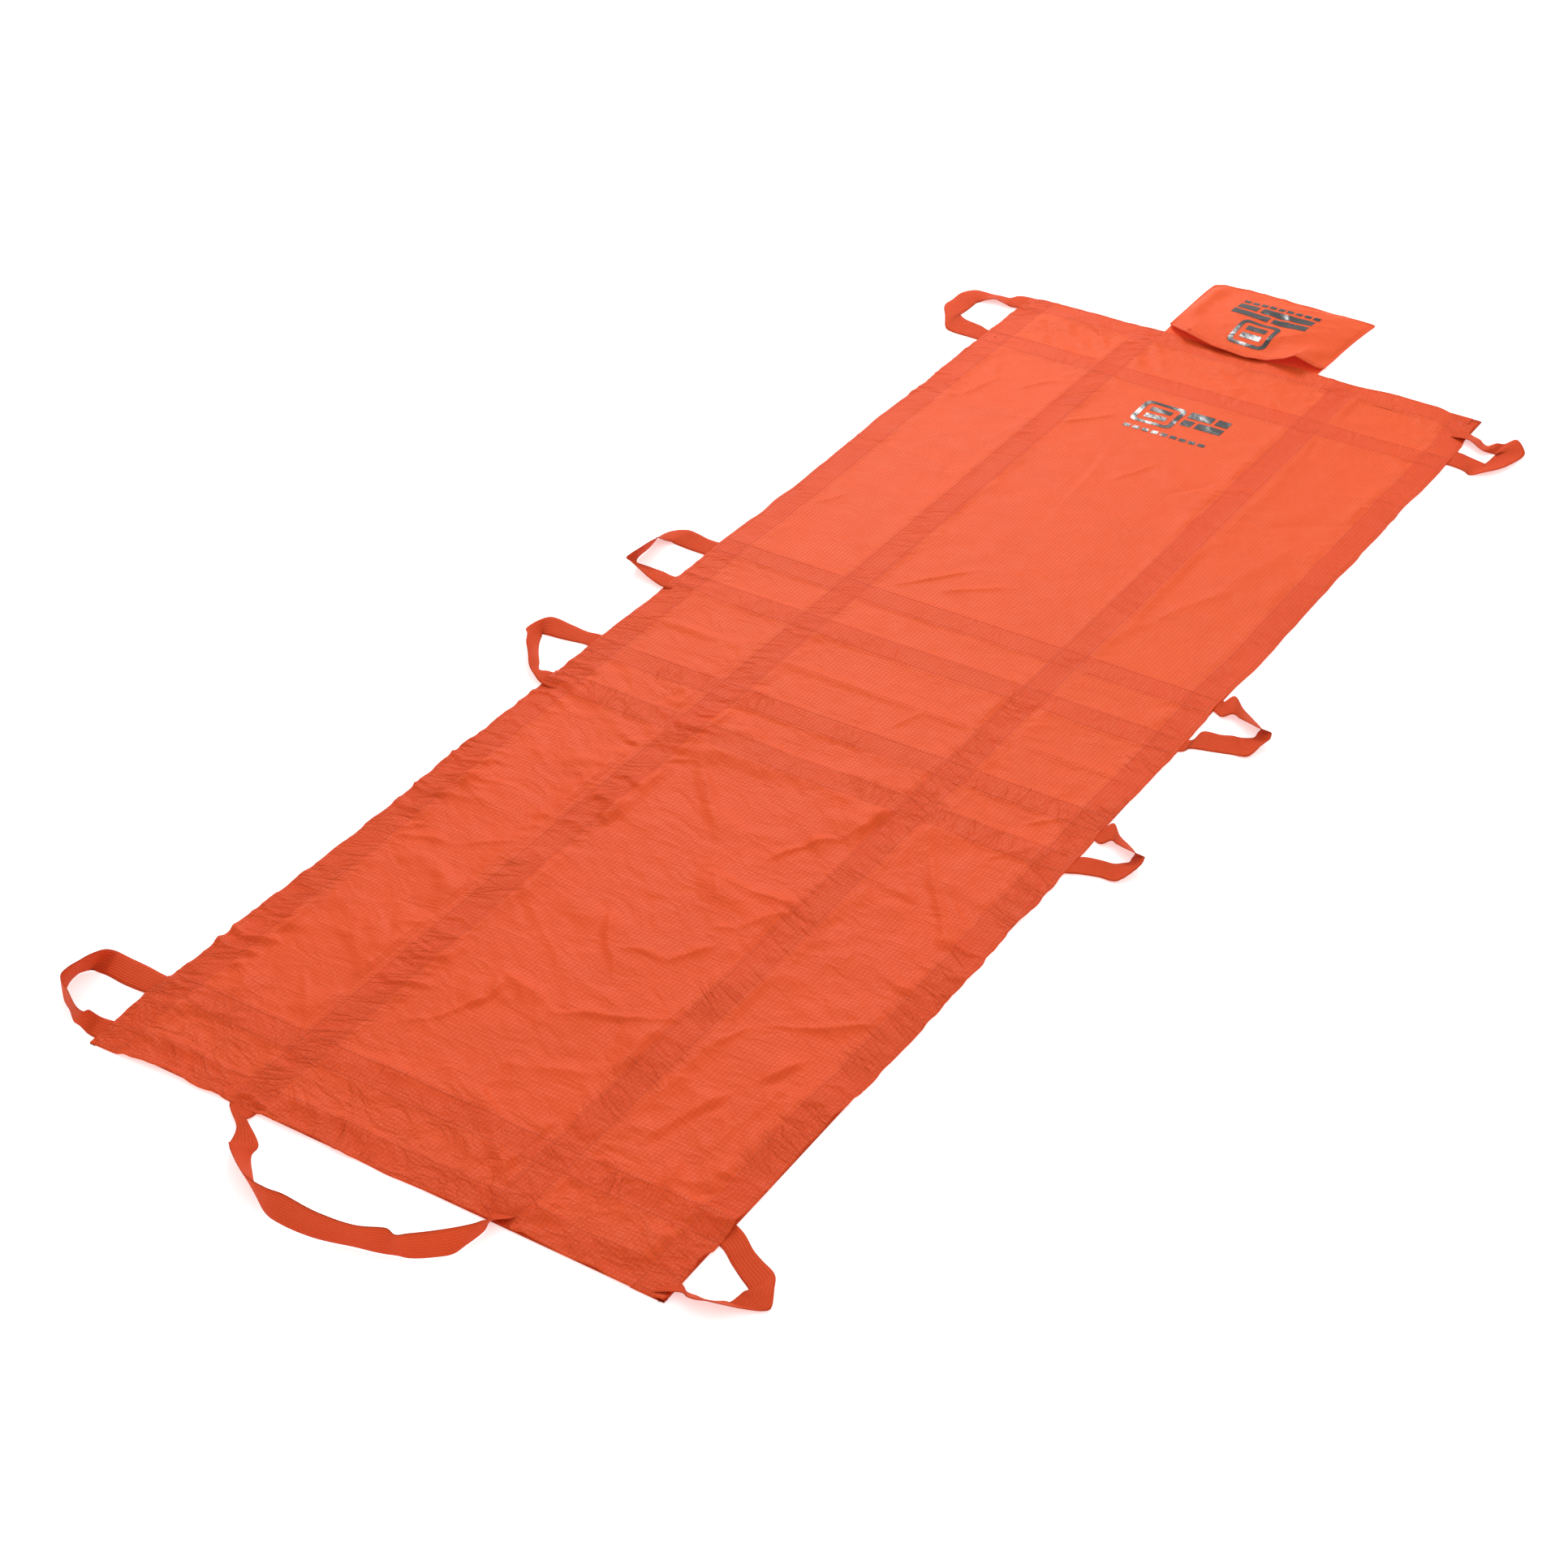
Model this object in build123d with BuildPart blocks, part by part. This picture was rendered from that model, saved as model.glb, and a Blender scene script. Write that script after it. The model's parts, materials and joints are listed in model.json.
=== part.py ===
"""A soft folding rescue stretcher.

A thin nylon sheet lies on a grid of flat webbing.  Two webbings run its full length, one more
lies along each side edge, and four closed loops of webbing cross it.  Each loop runs under the
sheet twice and leaves it on both sides as a carrying handle.  The two long webbings meet beyond
the foot edge in a drag handle, and the storage pouch is sewn to the head edge.

Frame: origin at the bottom centre of the whole object, +X to the right, +Y to the head, +Z up.
The sheet folds along four creases, so it is made as two rows of three panels.  All fold axes lie
at FOLD_Z, just above the top of the sheet.
"""

import os

from build123d import *

os.makedirs("parts", exist_ok=True)

# ---- driving dimensions, millimetres ---------------------------------------------------------
SHEET_WIDTH = 700.0
SHEET_LENGTH = 1990.0
SHEET_THICK = 0.8
WEB_WIDTH = 38.0
WEB_THICK = 1.2
LONG_WEB_X = 154.0  # centre of each full-length webbing, from the middle of the sheet
SIDE_HANDLE_REACH = 100.0
HANDLE_CORNER = 16.0  # diagonal fold at each outer corner of a side handle
DRAG_REACH = 110.0
POUCH_WIDTH = 250.0
POUCH_DEPTH = 190.0
POUCH_X = -14.0  # the pouch sits a little left of the middle
POUCH_BINDING = 10.0
POUCH_MOUTH_HEM = 14.0
POUCH_MOUTH_SETBACK = 5.0
POUCH_MOUTH_RISE = 24.0
POUCH_END_RISE = 0.8
STITCH_WIDTH = 2.0
STITCH_THICK = 0.3
STITCH_INSET = 3.0
PRINT_THICK = 0.2
SHEET_PRINT = (130.0, 101.0)
SHEET_PRINT_TO_HEAD = 235.5  # from the head edge to the middle of the sheet's print
POUCH_PRINT = (130.0, 110.0)
POUCH_PRINT_TO_HEAD = 98.0  # from the head edge to the middle of the pouch's print
GAP = 0.3  # clearance along each crease and at each handle root

# Middle of each crossing webbing, measured from the head edge.
BAND_FROM_HEAD = {
    "head_hem": WEB_WIDTH / 2,
    "head_cross": 142.0,
    "mid_a_upper": 835.0,
    "mid_a_lower": 933.0,
    "mid_b_upper": 1115.0,
    "mid_b_lower": 1203.0,
    "foot_cross": 1885.0,
    "foot_hem": SHEET_LENGTH - WEB_WIDTH / 2,
}

# The two crossing webbings that each closed loop is made of.
LOOPS = {
    "head": ("head_hem", "head_cross"),
    "mid_a": ("mid_a_upper", "mid_a_lower"),
    "mid_b": ("mid_b_upper", "mid_b_lower"),
    "foot": ("foot_cross", "foot_hem"),
}

# ---- everything below follows from the dimensions above --------------------------------------
TOTAL_LENGTH = POUCH_DEPTH + SHEET_LENGTH + DRAG_REACH
HEAD_Y = TOTAL_LENGTH / 2 - POUCH_DEPTH
FOOT_Y = HEAD_Y - SHEET_LENGTH
SIDE_X = SHEET_WIDTH / 2
CREASE_X = SHEET_WIDTH / 4

BAND_Y = {name: HEAD_Y - distance for name, distance in BAND_FROM_HEAD.items()}
CREASE_Y = (BAND_Y["mid_a_lower"] + BAND_Y["mid_b_upper"]) / 2

LONG_Z = 0.0  # underside of the lengthwise webbings
CROSS_Z = LONG_Z + WEB_THICK
SHEET_Z = CROSS_Z + WEB_THICK
SHEET_TOP = SHEET_Z + SHEET_THICK
FOLD_Z = SHEET_TOP + STITCH_THICK + 0.1
STITCH_OFFSET = WEB_WIDTH / 2 - STITCH_INSET

EDGE_WEB_X = SIDE_X - WEB_WIDTH / 2
COLUMNS = {
    "left": (-SIDE_X, -CREASE_X - GAP / 2),
    "centre": (-CREASE_X + GAP / 2, CREASE_X - GAP / 2),
    "right": (CREASE_X + GAP / 2, SIDE_X),
}
ROWS = {
    "head": (CREASE_Y + GAP / 2, HEAD_Y),
    "foot": (FOOT_Y, CREASE_Y - GAP / 2),
}
ROW_BANDS = {
    "head": ("head_hem", "head_cross", "mid_a_upper", "mid_a_lower"),
    "foot": ("mid_b_upper", "mid_b_lower", "foot_cross", "foot_hem"),
}
LENGTHWISE_WEB_X = {
    "left": (-EDGE_WEB_X,),
    "centre": (-LONG_WEB_X, LONG_WEB_X),
    "right": (EDGE_WEB_X,),
}


def finish(builder, name):
    """Label a finished piece and write it under its node name."""
    builder.part.label = name
    export_step(builder.part, f"parts/{name}.step")


def slab(x_span, y_span, bottom, thickness):
    """A flat rectangular layer between two x values and two y values."""
    with BuildPart() as piece:
        with BuildSketch(Plane.XY.offset(bottom)):
            with Locations((sum(x_span) / 2, sum(y_span) / 2)):
                Rectangle(x_span[1] - x_span[0], y_span[1] - y_span[0])
        extrude(amount=thickness)
    return piece


def around(middle, width):
    """The span of a given width around a middle value."""
    return (middle - width / 2, middle + width / 2)


# ---- the nylon sheet, two rows of three panels -----------------------------------------------
for row, y_span in ROWS.items():
    for column, x_span in COLUMNS.items():
        finish(slab(x_span, y_span, SHEET_Z, SHEET_THICK), f"sheet_{row}_{column}")

# ---- lengthwise webbings: two long ones and one in each side hem ------------------------------
for row, y_span in ROWS.items():
    for side, direction in (("left", -1), ("right", 1)):
        long_web = slab(around(direction * LONG_WEB_X, WEB_WIDTH), y_span, LONG_Z, WEB_THICK)
        finish(long_web, f"long_webbing_{row}_{side}")
        edge_web = slab(around(direction * EDGE_WEB_X, WEB_WIDTH), y_span, LONG_Z, WEB_THICK)
        finish(edge_web, f"edge_webbing_{row}_{side}")

# ---- crossing webbings: the runs of the four loops under each panel ---------------------------
for band, y_middle in BAND_Y.items():
    for column, x_span in COLUMNS.items():
        strap = slab(x_span, around(y_middle, WEB_WIDTH), CROSS_Z, WEB_THICK)
        finish(strap, f"strap_{band}_{column}")

# ---- carrying handles: each loop leaves the sheet on both sides -------------------------------
for loop, (upper_band, lower_band) in LOOPS.items():
    y_top = BAND_Y[upper_band] + WEB_WIDTH / 2
    y_bottom = BAND_Y[lower_band] - WEB_WIDTH / 2
    y_middle = (y_top + y_bottom) / 2
    for side, direction in (("left", -1), ("right", 1)):
        with BuildPart() as handle:
            with BuildSketch(Plane.XY.offset(CROSS_Z)) as outline:
                with Locations((direction * (SIDE_X + (GAP + SIDE_HANDLE_REACH) / 2), y_middle)):
                    Rectangle(SIDE_HANDLE_REACH - GAP, y_top - y_bottom)
                outer_corners = outline.vertices().sort_by(Axis.X)[:2]
                if direction > 0:
                    outer_corners = outline.vertices().sort_by(Axis.X)[-2:]
                chamfer(outer_corners, HANDLE_CORNER)
                finger_reach = SIDE_HANDLE_REACH - WEB_WIDTH
                with Locations((direction * (SIDE_X + finger_reach / 2), y_middle)):
                    Rectangle(finger_reach, y_top - y_bottom - 2 * WEB_WIDTH, mode=Mode.SUBTRACT)
            extrude(amount=WEB_THICK)
        finish(handle, f"{loop}_handle_{side}")

# ---- drag handle: the long webbings meet in a bow beyond the foot edge ------------------------
drag_root_y = FOOT_Y - GAP
inner_x, outer_x = around(LONG_WEB_X, WEB_WIDTH)
outer_bow_y = FOOT_Y - DRAG_REACH
inner_bow_y = outer_bow_y + WEB_WIDTH
with BuildPart() as drag_handle:
    with BuildSketch(Plane.XY.offset(LONG_Z)):
        with BuildLine():
            ThreePointArc((-outer_x, drag_root_y), (0, outer_bow_y), (outer_x, drag_root_y))
            Line((outer_x, drag_root_y), (inner_x, drag_root_y))
            ThreePointArc((inner_x, drag_root_y), (0, inner_bow_y), (-inner_x, drag_root_y))
            Line((-inner_x, drag_root_y), (-outer_x, drag_root_y))
        make_face()
    extrude(amount=WEB_THICK)
finish(drag_handle, "drag_handle")

# ---- storage pouch at the head edge -----------------------------------------------------------
pouch_root_y = HEAD_Y + GAP
pouch_end_y = HEAD_Y + POUCH_DEPTH
mouth_y = HEAD_Y + POUCH_MOUTH_SETBACK
front_start_y = mouth_y + POUCH_MOUTH_HEM
front_end_y = pouch_end_y - POUCH_BINDING
front_width = POUCH_WIDTH - 2 * POUCH_BINDING
front_top = SHEET_TOP + SHEET_THICK
binding_thick = SHEET_THICK + 0.4

pouch_span = around(POUCH_X, POUCH_WIDTH)
finish(slab(pouch_span, (pouch_root_y, pouch_end_y), SHEET_Z, SHEET_THICK), "pouch_back")

# Bound edge down both sides and across the closed end.
with BuildPart() as pouch_binding:
    with BuildSketch(Plane.XY.offset(SHEET_TOP)):
        with Locations((POUCH_X, (mouth_y + pouch_end_y) / 2)):
            Rectangle(POUCH_WIDTH, pouch_end_y - mouth_y)
        with Locations((POUCH_X, (mouth_y + front_end_y) / 2)):
            Rectangle(front_width, front_end_y - mouth_y, mode=Mode.SUBTRACT)
    extrude(amount=binding_thick)
finish(pouch_binding, "pouch_edge_binding")


def arch_section(y, rise, bottom, thickness):
    """One cross-section of the bowed front: a thin band of cloth arched over the back."""
    left, right = around(POUCH_X, front_width)
    top = bottom + thickness
    with BuildSketch(Plane.XZ.offset(-y)) as section:
        with BuildLine():
            ThreePointArc((left, top), (POUCH_X, top + rise), (right, top))
            Line((right, top), (right, bottom))
            ThreePointArc((right, bottom), (POUCH_X, bottom + rise), (left, bottom))
            Line((left, bottom), (left, top))
        make_face()
    return section.sketch


# Double hem round the open mouth.
with BuildPart() as pouch_mouth_hem:
    add(arch_section(mouth_y, POUCH_MOUTH_RISE, SHEET_TOP, SHEET_THICK))
    extrude(amount=POUCH_MOUTH_HEM, dir=(0, 1, 0))
finish(pouch_mouth_hem, "pouch_mouth_hem")

# Front of the pouch: bowed at the mouth, nearly flat at the closed end.
with BuildPart() as pouch_front:
    add(arch_section(front_start_y, POUCH_MOUTH_RISE, SHEET_TOP, SHEET_THICK))
    add(arch_section(front_end_y, POUCH_END_RISE, SHEET_TOP, SHEET_THICK))
    loft(ruled=True)
finish(pouch_front, "pouch_front")

# Printed mark on the bowed front: a skin of ink cut to a rectangle.
with BuildPart() as pouch_print:
    add(arch_section(front_start_y, POUCH_MOUTH_RISE, front_top, PRINT_THICK))
    add(arch_section(front_end_y, POUCH_END_RISE, front_top, PRINT_THICK))
    loft(ruled=True)
    with BuildSketch(Plane.XY):
        with Locations((POUCH_X, HEAD_Y + POUCH_PRINT_TO_HEAD)):
            Rectangle(*POUCH_PRINT)
    extrude(amount=SHEET_TOP + 2 * POUCH_MOUTH_RISE, mode=Mode.INTERSECT)
finish(pouch_print, "pouch_print")

# ---- printed mark on the sheet ----------------------------------------------------------------
sheet_print_y = HEAD_Y - SHEET_PRINT_TO_HEAD
sheet_print_spans = (around(0, SHEET_PRINT[0]), around(sheet_print_y, SHEET_PRINT[1]))
finish(slab(*sheet_print_spans, SHEET_TOP, PRINT_THICK), "sheet_print")

# ---- stitching: a row along both edges of every webbing, one grid of rows on each panel --------
for row, (y_low, y_high) in ROWS.items():
    for column, (x_low, x_high) in COLUMNS.items():
        with BuildPart() as stitching:
            with BuildSketch(Plane.XY.offset(SHEET_TOP)):
                for web_x in LENGTHWISE_WEB_X[column]:
                    with Locations((web_x, (y_low + y_high) / 2)):
                        with GridLocations(2 * STITCH_OFFSET, 0, 2, 1):
                            Rectangle(STITCH_WIDTH, y_high - y_low)
                for band in ROW_BANDS[row]:
                    with Locations(((x_low + x_high) / 2, BAND_Y[band])):
                        with GridLocations(0, 2 * STITCH_OFFSET, 1, 2):
                            Rectangle(x_high - x_low, STITCH_WIDTH)
            extrude(amount=STITCH_THICK)
        finish(stitching, f"stitching_{row}_{column}")

print(f"height of the fold axes {FOLD_Z:.2f}, crosswise crease at y {CREASE_Y:.2f}")
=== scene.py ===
"""Looks of the soft folding rescue stretcher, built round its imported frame.

The sheet is one cloth surface, worked out over its whole flat size and then cut into the six
panels that fold.  Webbing, sewing, prints and the pouch are separate pieces set on that surface.
Lengths are metres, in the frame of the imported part.
"""

import json
import math

import bpy
import numpy as np
from mathutils import Matrix, Vector


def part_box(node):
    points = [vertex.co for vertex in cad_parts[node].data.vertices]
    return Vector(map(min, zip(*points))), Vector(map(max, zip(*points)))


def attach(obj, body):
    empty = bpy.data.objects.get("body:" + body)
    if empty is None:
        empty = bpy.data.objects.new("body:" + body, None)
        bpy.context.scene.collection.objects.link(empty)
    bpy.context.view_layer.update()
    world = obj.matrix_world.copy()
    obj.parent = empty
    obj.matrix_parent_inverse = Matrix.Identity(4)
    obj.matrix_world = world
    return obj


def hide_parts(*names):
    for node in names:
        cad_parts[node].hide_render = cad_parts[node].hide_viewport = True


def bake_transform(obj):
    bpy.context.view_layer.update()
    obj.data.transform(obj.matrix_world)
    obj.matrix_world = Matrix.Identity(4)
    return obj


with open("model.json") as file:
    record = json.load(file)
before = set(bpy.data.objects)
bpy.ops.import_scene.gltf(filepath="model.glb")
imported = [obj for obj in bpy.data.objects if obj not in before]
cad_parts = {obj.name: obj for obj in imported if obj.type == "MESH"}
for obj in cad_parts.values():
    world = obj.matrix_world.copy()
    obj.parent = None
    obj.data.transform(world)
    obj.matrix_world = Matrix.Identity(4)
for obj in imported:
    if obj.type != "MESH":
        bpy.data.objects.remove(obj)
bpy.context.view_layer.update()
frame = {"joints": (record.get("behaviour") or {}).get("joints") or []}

MM = 0.001

# ---- places read from the frame ----


def low(node):
    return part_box(node)[0]


def high(node):
    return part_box(node)[1]


def box_middle(node):
    """x and y of the middle of a node's box."""
    a, b = low(node), high(node)
    return (a.x + b.x) / 2, (a.y + b.y) / 2


HEAD_Y = high("sheet_head_centre").y
FOOT_Y = low("sheet_foot_centre").y
SIDE_X = high("sheet_head_right").x
CREASE_X = (high("sheet_head_centre").x + low("sheet_head_right").x) / 2
CREASE_Y = (low("sheet_head_centre").y + high("sheet_foot_centre").y) / 2
FOLD_Z = next(j for j in frame["joints"] if j["name"] == "half_fold")["pos_m"][2]
WEB_WIDTH = high("long_webbing_head_right").x - low("long_webbing_head_right").x
WEB_THICK = high("long_webbing_head_right").z - low("long_webbing_head_right").z
LONG_X = box_middle("long_webbing_head_right")[0]
EDGE_X = SIDE_X - WEB_WIDTH / 2
CROSS_Z = low("strap_head_hem_centre").z

LOOP_BANDS = {
    "head": ("head_hem", "head_cross"),
    "mid_a": ("mid_a_upper", "mid_a_lower"),
    "mid_b": ("mid_b_upper", "mid_b_lower"),
    "foot": ("foot_cross", "foot_hem"),
}
BANDS = [band for pair in LOOP_BANDS.values() for band in pair]
BAND_Y = {b: box_middle(f"strap_{b}_centre")[1] for b in BANDS}
ROW_OF_BAND = {b: "head" if BAND_Y[b] > CREASE_Y else "foot" for b in BANDS}
SIDES = {"left": -1, "right": 1}

# ---- smooth random relief ----


def lattice(ix, iy, seed):
    """A random value from -1 to 1 for each pair of whole numbers."""
    h = ix * 374761393 + iy * 668265263 + seed * 974634777
    h = ((h ^ (h >> 13)) & 0xFFFFFFFF) * 1274126177
    return ((h ^ (h >> 16)) & 0xFFFF) / 32767.5 - 1


def relief(x, y, seed):
    """Smooth relief from about -1 to 1 with one random value per unit square."""
    ix = np.floor(x).astype(np.int64)
    iy = np.floor(y).astype(np.int64)
    fx = x - ix
    fy = y - iy
    sx = fx * fx * fx * (fx * (fx * 6 - 15) + 10)
    sy = fy * fy * fy * (fy * (fy * 6 - 15) + 10)

    near = lattice(ix, iy, seed) * (1 - sx) + lattice(ix + 1, iy, seed) * sx
    far = lattice(ix, iy + 1, seed) * (1 - sx) + lattice(ix + 1, iy + 1, seed) * sx
    return near * (1 - sy) + far * sy


def facets(x, y, seed):
    """Random flat triangles that meet in sharp edges, from about -1 to 1: crumpled thin cloth."""
    ix = np.floor(x).astype(np.int64)
    iy = np.floor(y).astype(np.int64)
    fx = x - ix
    fy = y - iy
    h00, h10 = lattice(ix, iy, seed), lattice(ix + 1, iy, seed)
    h01, h11 = lattice(ix, iy + 1, seed), lattice(ix + 1, iy + 1, seed)
    near = h00 + fx * (h10 - h00) + fy * (h01 - h00)
    far = h11 + (1 - fx) * (h01 - h11) + (1 - fy) * (h10 - h11)
    return np.where(fx + fy < 1, near, far)


def smoothstep(edge0, edge1, x):
    t = np.clip((x - edge0) / (edge1 - edge0), 0, 1)
    return t * t * (3 - 2 * t)


def soften(grid, passes):
    """Binomial smoothing along both directions of a grid, with its border kept."""
    for _ in range(passes):
        padded = np.pad(grid, 1, mode="edge")
        grid = (padded[:-2, 1:-1] + 2 * padded[1:-1, 1:-1] + padded[2:, 1:-1]) / 4
        padded = np.pad(grid, 1, mode="edge")
        grid = (padded[1:-1, :-2] + 2 * padded[1:-1, 1:-1] + padded[1:-1, 2:]) / 4
    return grid


# ---- shared helpers ----


def unit(vectors):
    """Vectors along the last axis, each brought to length 1."""
    return vectors / np.linalg.norm(vectors, axis=-1, keepdims=True)


def travelled(points):
    """Distance along a line of points from its first one to each."""
    return np.concatenate([[0], np.cumsum(np.linalg.norm(np.diff(points, axis=0), axis=1))])


def grid_faces(rows, columns, closed_columns=False):
    """Quads over a rows x columns grid of vertices, upwards where rows run +X and columns +Y."""
    index = np.arange(rows * columns).reshape(rows, columns)
    if closed_columns:
        index = np.concatenate([index, index[:, :1]], 1)
    quads = np.stack([index[:-1, :-1], index[1:, :-1], index[1:, 1:], index[:-1, 1:]], -1)
    return quads.reshape(-1, 4)


def linked(name, data):
    """A new object of the scene that holds data."""
    made = bpy.data.objects.new(name, data)
    bpy.context.scene.collection.objects.link(made)
    return made


def square(name, half):
    """A flat square on the ground, centred on the origin."""
    mesh = bpy.data.meshes.new(name)
    corners = [(-half, -half, 0), (half, -half, 0), (half, half, 0), (-half, half, 0)]
    mesh.from_pydata(corners, [], [(0, 1, 2, 3)])
    return linked(name, mesh)


# ---- the cloth between the webbing, simulated ----

CLOTH_STEP = 8 * MM
CLOTH_FRAMES = 24
CLOTH_PIN_Z = 3 * MM
SLACK_LOW, SLACK_HIGH = -2 * MM, 9 * MM


def simulate_slack():
    """Height of the loose cloth above its sewn lines, on a grid over the whole sheet.

    The cloth is a little too large for the webbing it is sewn to, more so in the foot half, so it
    buckles between the sewn lines.
    """
    nu = int(round(2 * SIDE_X / CLOTH_STEP)) + 1
    nv = int(round((HEAD_Y - FOOT_Y) / CLOTH_STEP)) + 1
    u, v = np.meshgrid(np.linspace(-SIDE_X, SIDE_X, nu), np.linspace(FOOT_Y, HEAD_Y, nv), indexing="ij")
    sewn = np.zeros(u.shape, bool)
    for x in (LONG_X, EDGE_X):
        sewn |= np.abs(np.abs(u) - x) < WEB_WIDTH / 2
    for y in BAND_Y.values():
        sewn |= np.abs(v - y) < WEB_WIDTH / 3
    rng = np.random.default_rng(7)
    fine = soften(rng.standard_normal(u.shape), 6)
    broad = soften(rng.standard_normal(u.shape), 40)
    start_z = CLOTH_PIN_Z + (1.5 + 0.6 * fine / fine.std() + 1.2 * broad / broad.std()) * MM
    start_z[sewn] = CLOTH_PIN_Z
    points = np.stack([u, v, start_z], -1).reshape(-1, 3)
    mesh = bpy.data.meshes.new("slack")
    mesh.from_pydata(points.tolist(), [], grid_faces(nu, nv).tolist())
    cloth = linked("slack", mesh)
    pins = cloth.vertex_groups.new(name="sewn")
    pins.add(np.nonzero(sewn.ravel())[0].tolist(), 1.0, "REPLACE")
    slack = cloth.vertex_groups.new(name="slack")
    amount = 0.35 + 0.65 * smoothstep(CREASE_Y + 0.2, CREASE_Y - 0.3, v)
    for vertex, weight in enumerate(amount.ravel().tolist()):
        slack.add([vertex], weight, "REPLACE")

    ground = square("ground", 2)
    ground.modifiers.new("ground", "COLLISION")
    ground.collision.thickness_outer = 1 * MM

    modifier = cloth.modifiers.new("cloth", "CLOTH")
    settings = modifier.settings
    settings.quality = 4
    settings.mass = 0.02
    settings.tension_stiffness = 20
    settings.compression_stiffness = 20
    settings.shear_stiffness = 8
    settings.bending_stiffness = 5
    settings.vertex_group_mass = "sewn"
    settings.vertex_group_shrink = "slack"
    settings.shrink_min = 0.0
    settings.shrink_max = -0.028
    settings.effector_weights.gravity = 0.3
    collision = modifier.collision_settings
    collision.distance_min = 1 * MM
    collision.use_self_collision = False
    modifier.point_cache.frame_start = 1
    modifier.point_cache.frame_end = CLOTH_FRAMES
    for number in range(1, CLOTH_FRAMES + 1):
        bpy.context.scene.frame_set(number)
    settled = cloth.evaluated_get(bpy.context.evaluated_depsgraph_get())
    final = np.zeros(nu * nv * 3)
    settled.data.vertices.foreach_get("co", final)
    height = final.reshape(nu, nv, 3)[..., 2] - CLOTH_PIN_Z
    bpy.data.objects.remove(cloth)
    bpy.data.objects.remove(ground)
    bpy.context.scene.frame_set(1)
    return np.clip(height, SLACK_LOW, SLACK_HIGH)


def sample(grid, row, column):
    """Bilinear value of a grid at fractional rows and columns."""
    row = np.clip(row, 0, grid.shape[0] - 1.001)
    column = np.clip(column, 0, grid.shape[1] - 1.001)
    r = row.astype(int)
    c = column.astype(int)
    fr = (row - r)[..., None] if grid.ndim == 3 else row - r
    fc = (column - c)[..., None] if grid.ndim == 3 else column - c
    near = grid[r, c] * (1 - fr) + grid[r + 1, c] * fr
    far = grid[r, c + 1] * (1 - fr) + grid[r + 1, c + 1] * fr
    return near * (1 - fc) + far * fc


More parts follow.
